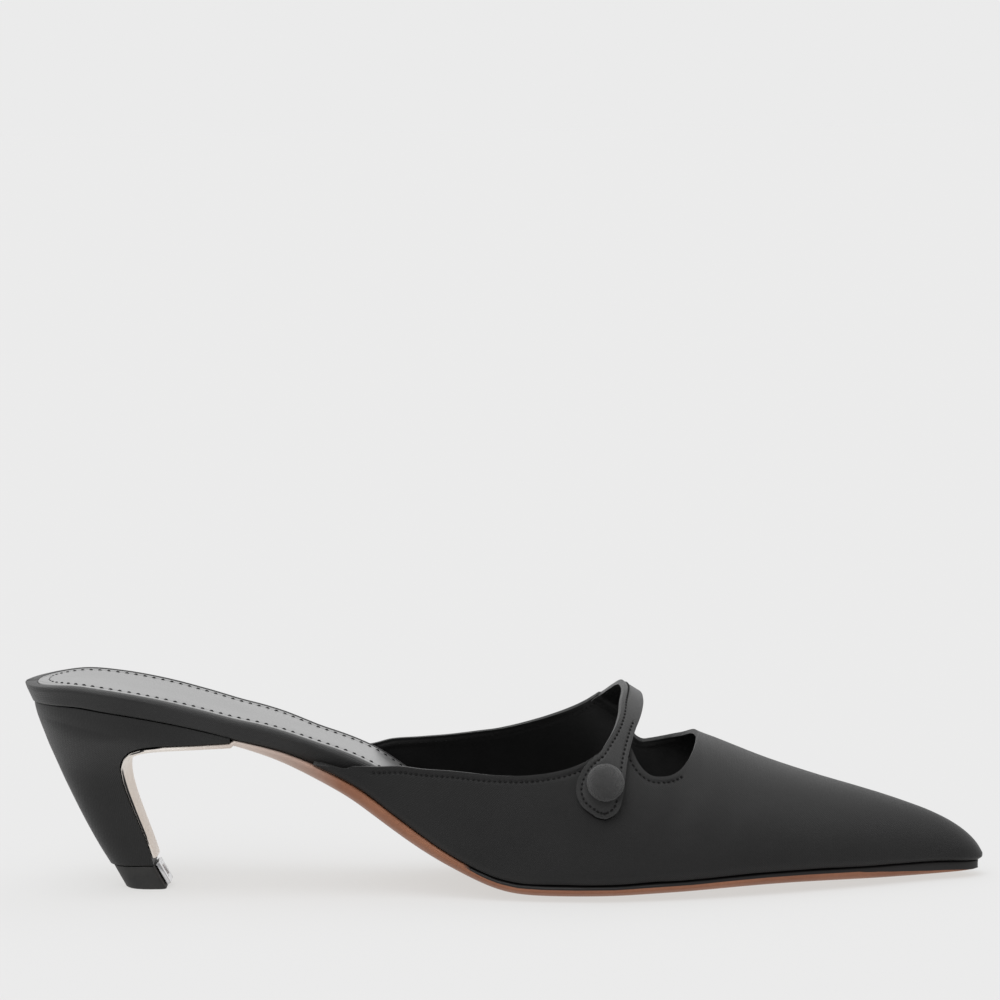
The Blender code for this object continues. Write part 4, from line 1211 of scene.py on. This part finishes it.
def sock_line(inset, end):
    """The line inside the sock's edge, from one side round the seat to the other."""
    whole = BED_LEDGE + inset
    start = whole / LENGTH
    along = start + (end - start) * np.linspace(0, 1, 700) ** 2
    lateral, medial = (
        np.column_stack([along_to_x(along), side * bed_half(along, side, whole)])
        for side in (LATERAL, MEDIAL)
    )
    plan = np.concatenate([lateral[::-1], medial[1:]])
    place = x_to_along(plan[:, 0])
    height = bed_top(place) - RECESS_DEPTH + FIT + SOCK_THICKNESS - 0.0001
    even = np.linspace(0, 1, 2001)
    slope = np.interp(place, even, np.gradient(bed_top(even), 0.0005 * LENGTH))
    way = unit(np.column_stack([-slope, np.zeros(len(slope)), np.ones(len(slope))]))
    return np.column_stack([plan, height]), way


line, way = sock_line(SOCK_STITCH_INSET, 0.86)
sew("sock_stitches", line, way, SOCK_PITCH, sock_thread, "silver_leather", 0.62, 0.00040, 0.1)

# %% [markdown]
# ## Heel
# The moulded heel is wrapped in the same satin. It fans out from the top piece to the seat, round at the
# back and square at the breast. A loft through many sections keeps its lines fair, where a box bent to
# this shape would show bumps, and a small bevel gives the fold of the cloth along the breast.

# %% Heel sections
TIP_HEIGHT = 0.0065
FLAP_END = 0.215
HEEL_SECTIONS = [
    # back along, back height, front along, front height, half width, seat share
    (0.0850, 0.000, 0.1320, 0.000, 0.134, 0.0),
    (0.0740, 0.105, 0.1268, 0.101, 0.138, 0.0),
    (0.0615, 0.239, 0.1178, 0.236, 0.148, 0.0),
    (0.0485, 0.393, 0.1076, 0.393, 0.166, 0.0),
    (0.0370, 0.539, 0.1012, 0.519, 0.198, 0.0),
    (0.0290, 0.650, 0.1000, 0.605, 0.252, 0.0),
    (0.0225, 0.742, 0.1040, 0.670, 0.315, 0.0),
    (0.0180, 0.815, 0.1120, 0.720, 0.372, 0.1),
    (0.0140, 0.878, 0.1260, 0.749, 0.418, 0.3),
    (0.0112, 0.928, 0.1490, 0.763, 0.446, 0.5),
    (0.0098, 0.963, 0.1830, 0.770, 0.462, 0.75),
    (0.0092, 0.983, 0.2170, 0.780, 0.468, 0.95),
    (0.0090, 0.990, 0.2170, 0.801, 0.470, 1.0),
]
BREAST_EDGE = 0.0004
BACK_ROUND = (0.72, 1.15)
SEAT_FRONT_TAPER = 0.07
LAST_SECTION = len(HEEL_SECTIONS) - 1
numbered = [(index, *row) for index, row in enumerate(HEEL_SECTIONS)]
heel_columns = [through(numbered, column) for column in range(1, 7)]


def heel_height(share):
    base = TIP_HEIGHT + FIT
    return base + share * (HEEL_HEIGHT - base)


def seat_height(along):
    return bed_underside(np.minimum(along, FLAP_END)) * HEEL_HEIGHT - FIT


def heel_ring(step):
    row = [float(np.interp(step, at, values)) for at, values in heel_columns]
    back_along, back_height, front_along, front_height, half_share, seat_share = row
    back_x, front_x = along_to_x(back_along), along_to_x(front_along)
    half = half_share * SEAT_WIDTH
    length = front_x - back_x
    reach = min(BACK_ROUND[0] * length, BACK_ROUND[1] * half)
    turns = np.radians(np.linspace(0, 90, 25))
    front_half = half * (1 - SEAT_FRONT_TAPER * seat_share)
    flank = np.linspace(0, 1, 12)[1:]
    plan = np.concatenate([
        np.column_stack([back_x + reach * (1 - np.cos(turns)), half * np.sin(turns)]),
        np.column_stack([back_x + reach + (length - reach) * flank, half + (front_half - half) * flank]),
        [(front_x, front_half * share) for share in (0.8, 0.55, 0.3, 0.0)],
    ])
    share = (plan[:, 0] - back_x) / length
    ends = heel_height(back_height), heel_height(front_height)
    seat = seat_height(x_to_along(plan[:, 0]))
    chord = seat_height(back_along) + (seat_height(front_along) - seat_height(back_along)) * share
    height = ends[0] + (ends[1] - ends[0]) * share + (seat - chord) * seat_share
    height = seat if step == LAST_SECTION else np.minimum(height, seat)
    lateral, medial = (np.column_stack([plan[:, 0], side * plan[:, 1], height]) for side in (LATERAL, MEDIAL))
    return np.concatenate([lateral, medial[::-1]])


# %% Make the heel
heel = ring_loft("satin_heel", np.array([heel_ring(step) for step in np.linspace(0, LAST_SECTION, 97)]))
in_edit(heel, lambda: bpy.ops.mesh.normals_make_consistent(inside=False))
bevelled(heel, BREAST_EDGE, 3, 45)
finished(heel, 50, [heel_cloth_painted_light], "heel_satin", "heel")

# %% [markdown]
# ## Sole
# The leather sole keeps its solid's shape. Its flat facets are smoothed by subdividing a merged copy, with
# a crease on the real edges so that they stay crisp but catch the light.

# %% Sole
BREAST = -0.078
PAINT_DEPTH = 0.0011
TOE_PAINT_DEPTH = 0.0012
TOE_PAINT_GROWS = (0.86, 0.08)
WAIST_BACK, WAIST_FRONT, WAIST_FADE = -0.100, -0.006, 0.012
PALE_FADE = 0.045


def mark_sole(made):
    """Writes where the edge is painted and where the leather is pale, for the finish to read."""
    points, ways = points_of(made), points_of(made, "normal")
    place = points[:, 0]
    sideways = np.where(place < BREAST, abs(ways[:, 1]), np.hypot(ways[:, 0], ways[:, 1]))
    under_seam = feather(x_to_along(place)) - points[:, 2]
    deeper = TOE_PAINT_DEPTH * rising(x_to_along(place), *TOE_PAINT_GROWS)
    low = rising(under_seam, PAINT_DEPTH + deeper, 0.0003) * (place > WAIST_BACK)
    sideways = sideways * (1 - 0.6 * low)
    waist = rising(place, WAIST_BACK, WAIST_FADE) * np.clip((WAIST_FRONT - place) / WAIST_FADE, 0, 1)
    sideways = np.where(ways[:, 2] > 0.6, 1.0, sideways) * (1 - 0.6 * waist)
    pale_part = 1 - rising(place, -2 * PALE_FADE, PALE_FADE)
    for name, values in (("painted_edge", sideways), ("pale_breast", pale_part)):
        layer = made.data.attributes.new(name, "FLOAT", "POINT")
        layer.data.foreach_set("value", values.astype(np.float32))


sole = soft_copy("outsole", "leather_outsole", 2)
mark_sole(sole)
finished(sole, 50, [sole_leather], "leather_sole", "outsole")

# %% Top piece and plate
top_piece = soft_copy("heel_tip", "rubber_top_piece")
bevelled(top_piece, 0.00025, 2, 40)
finished(top_piece, 40, [rubber], "black_rubber", "heel_tip")
plate = soft_copy("heel_tip_plate", "steel_plate")
bevelled(plate, 0.00018, 2, 40)
finished(plate, 40, [steel], "polished_steel", "heel_tip_plate")
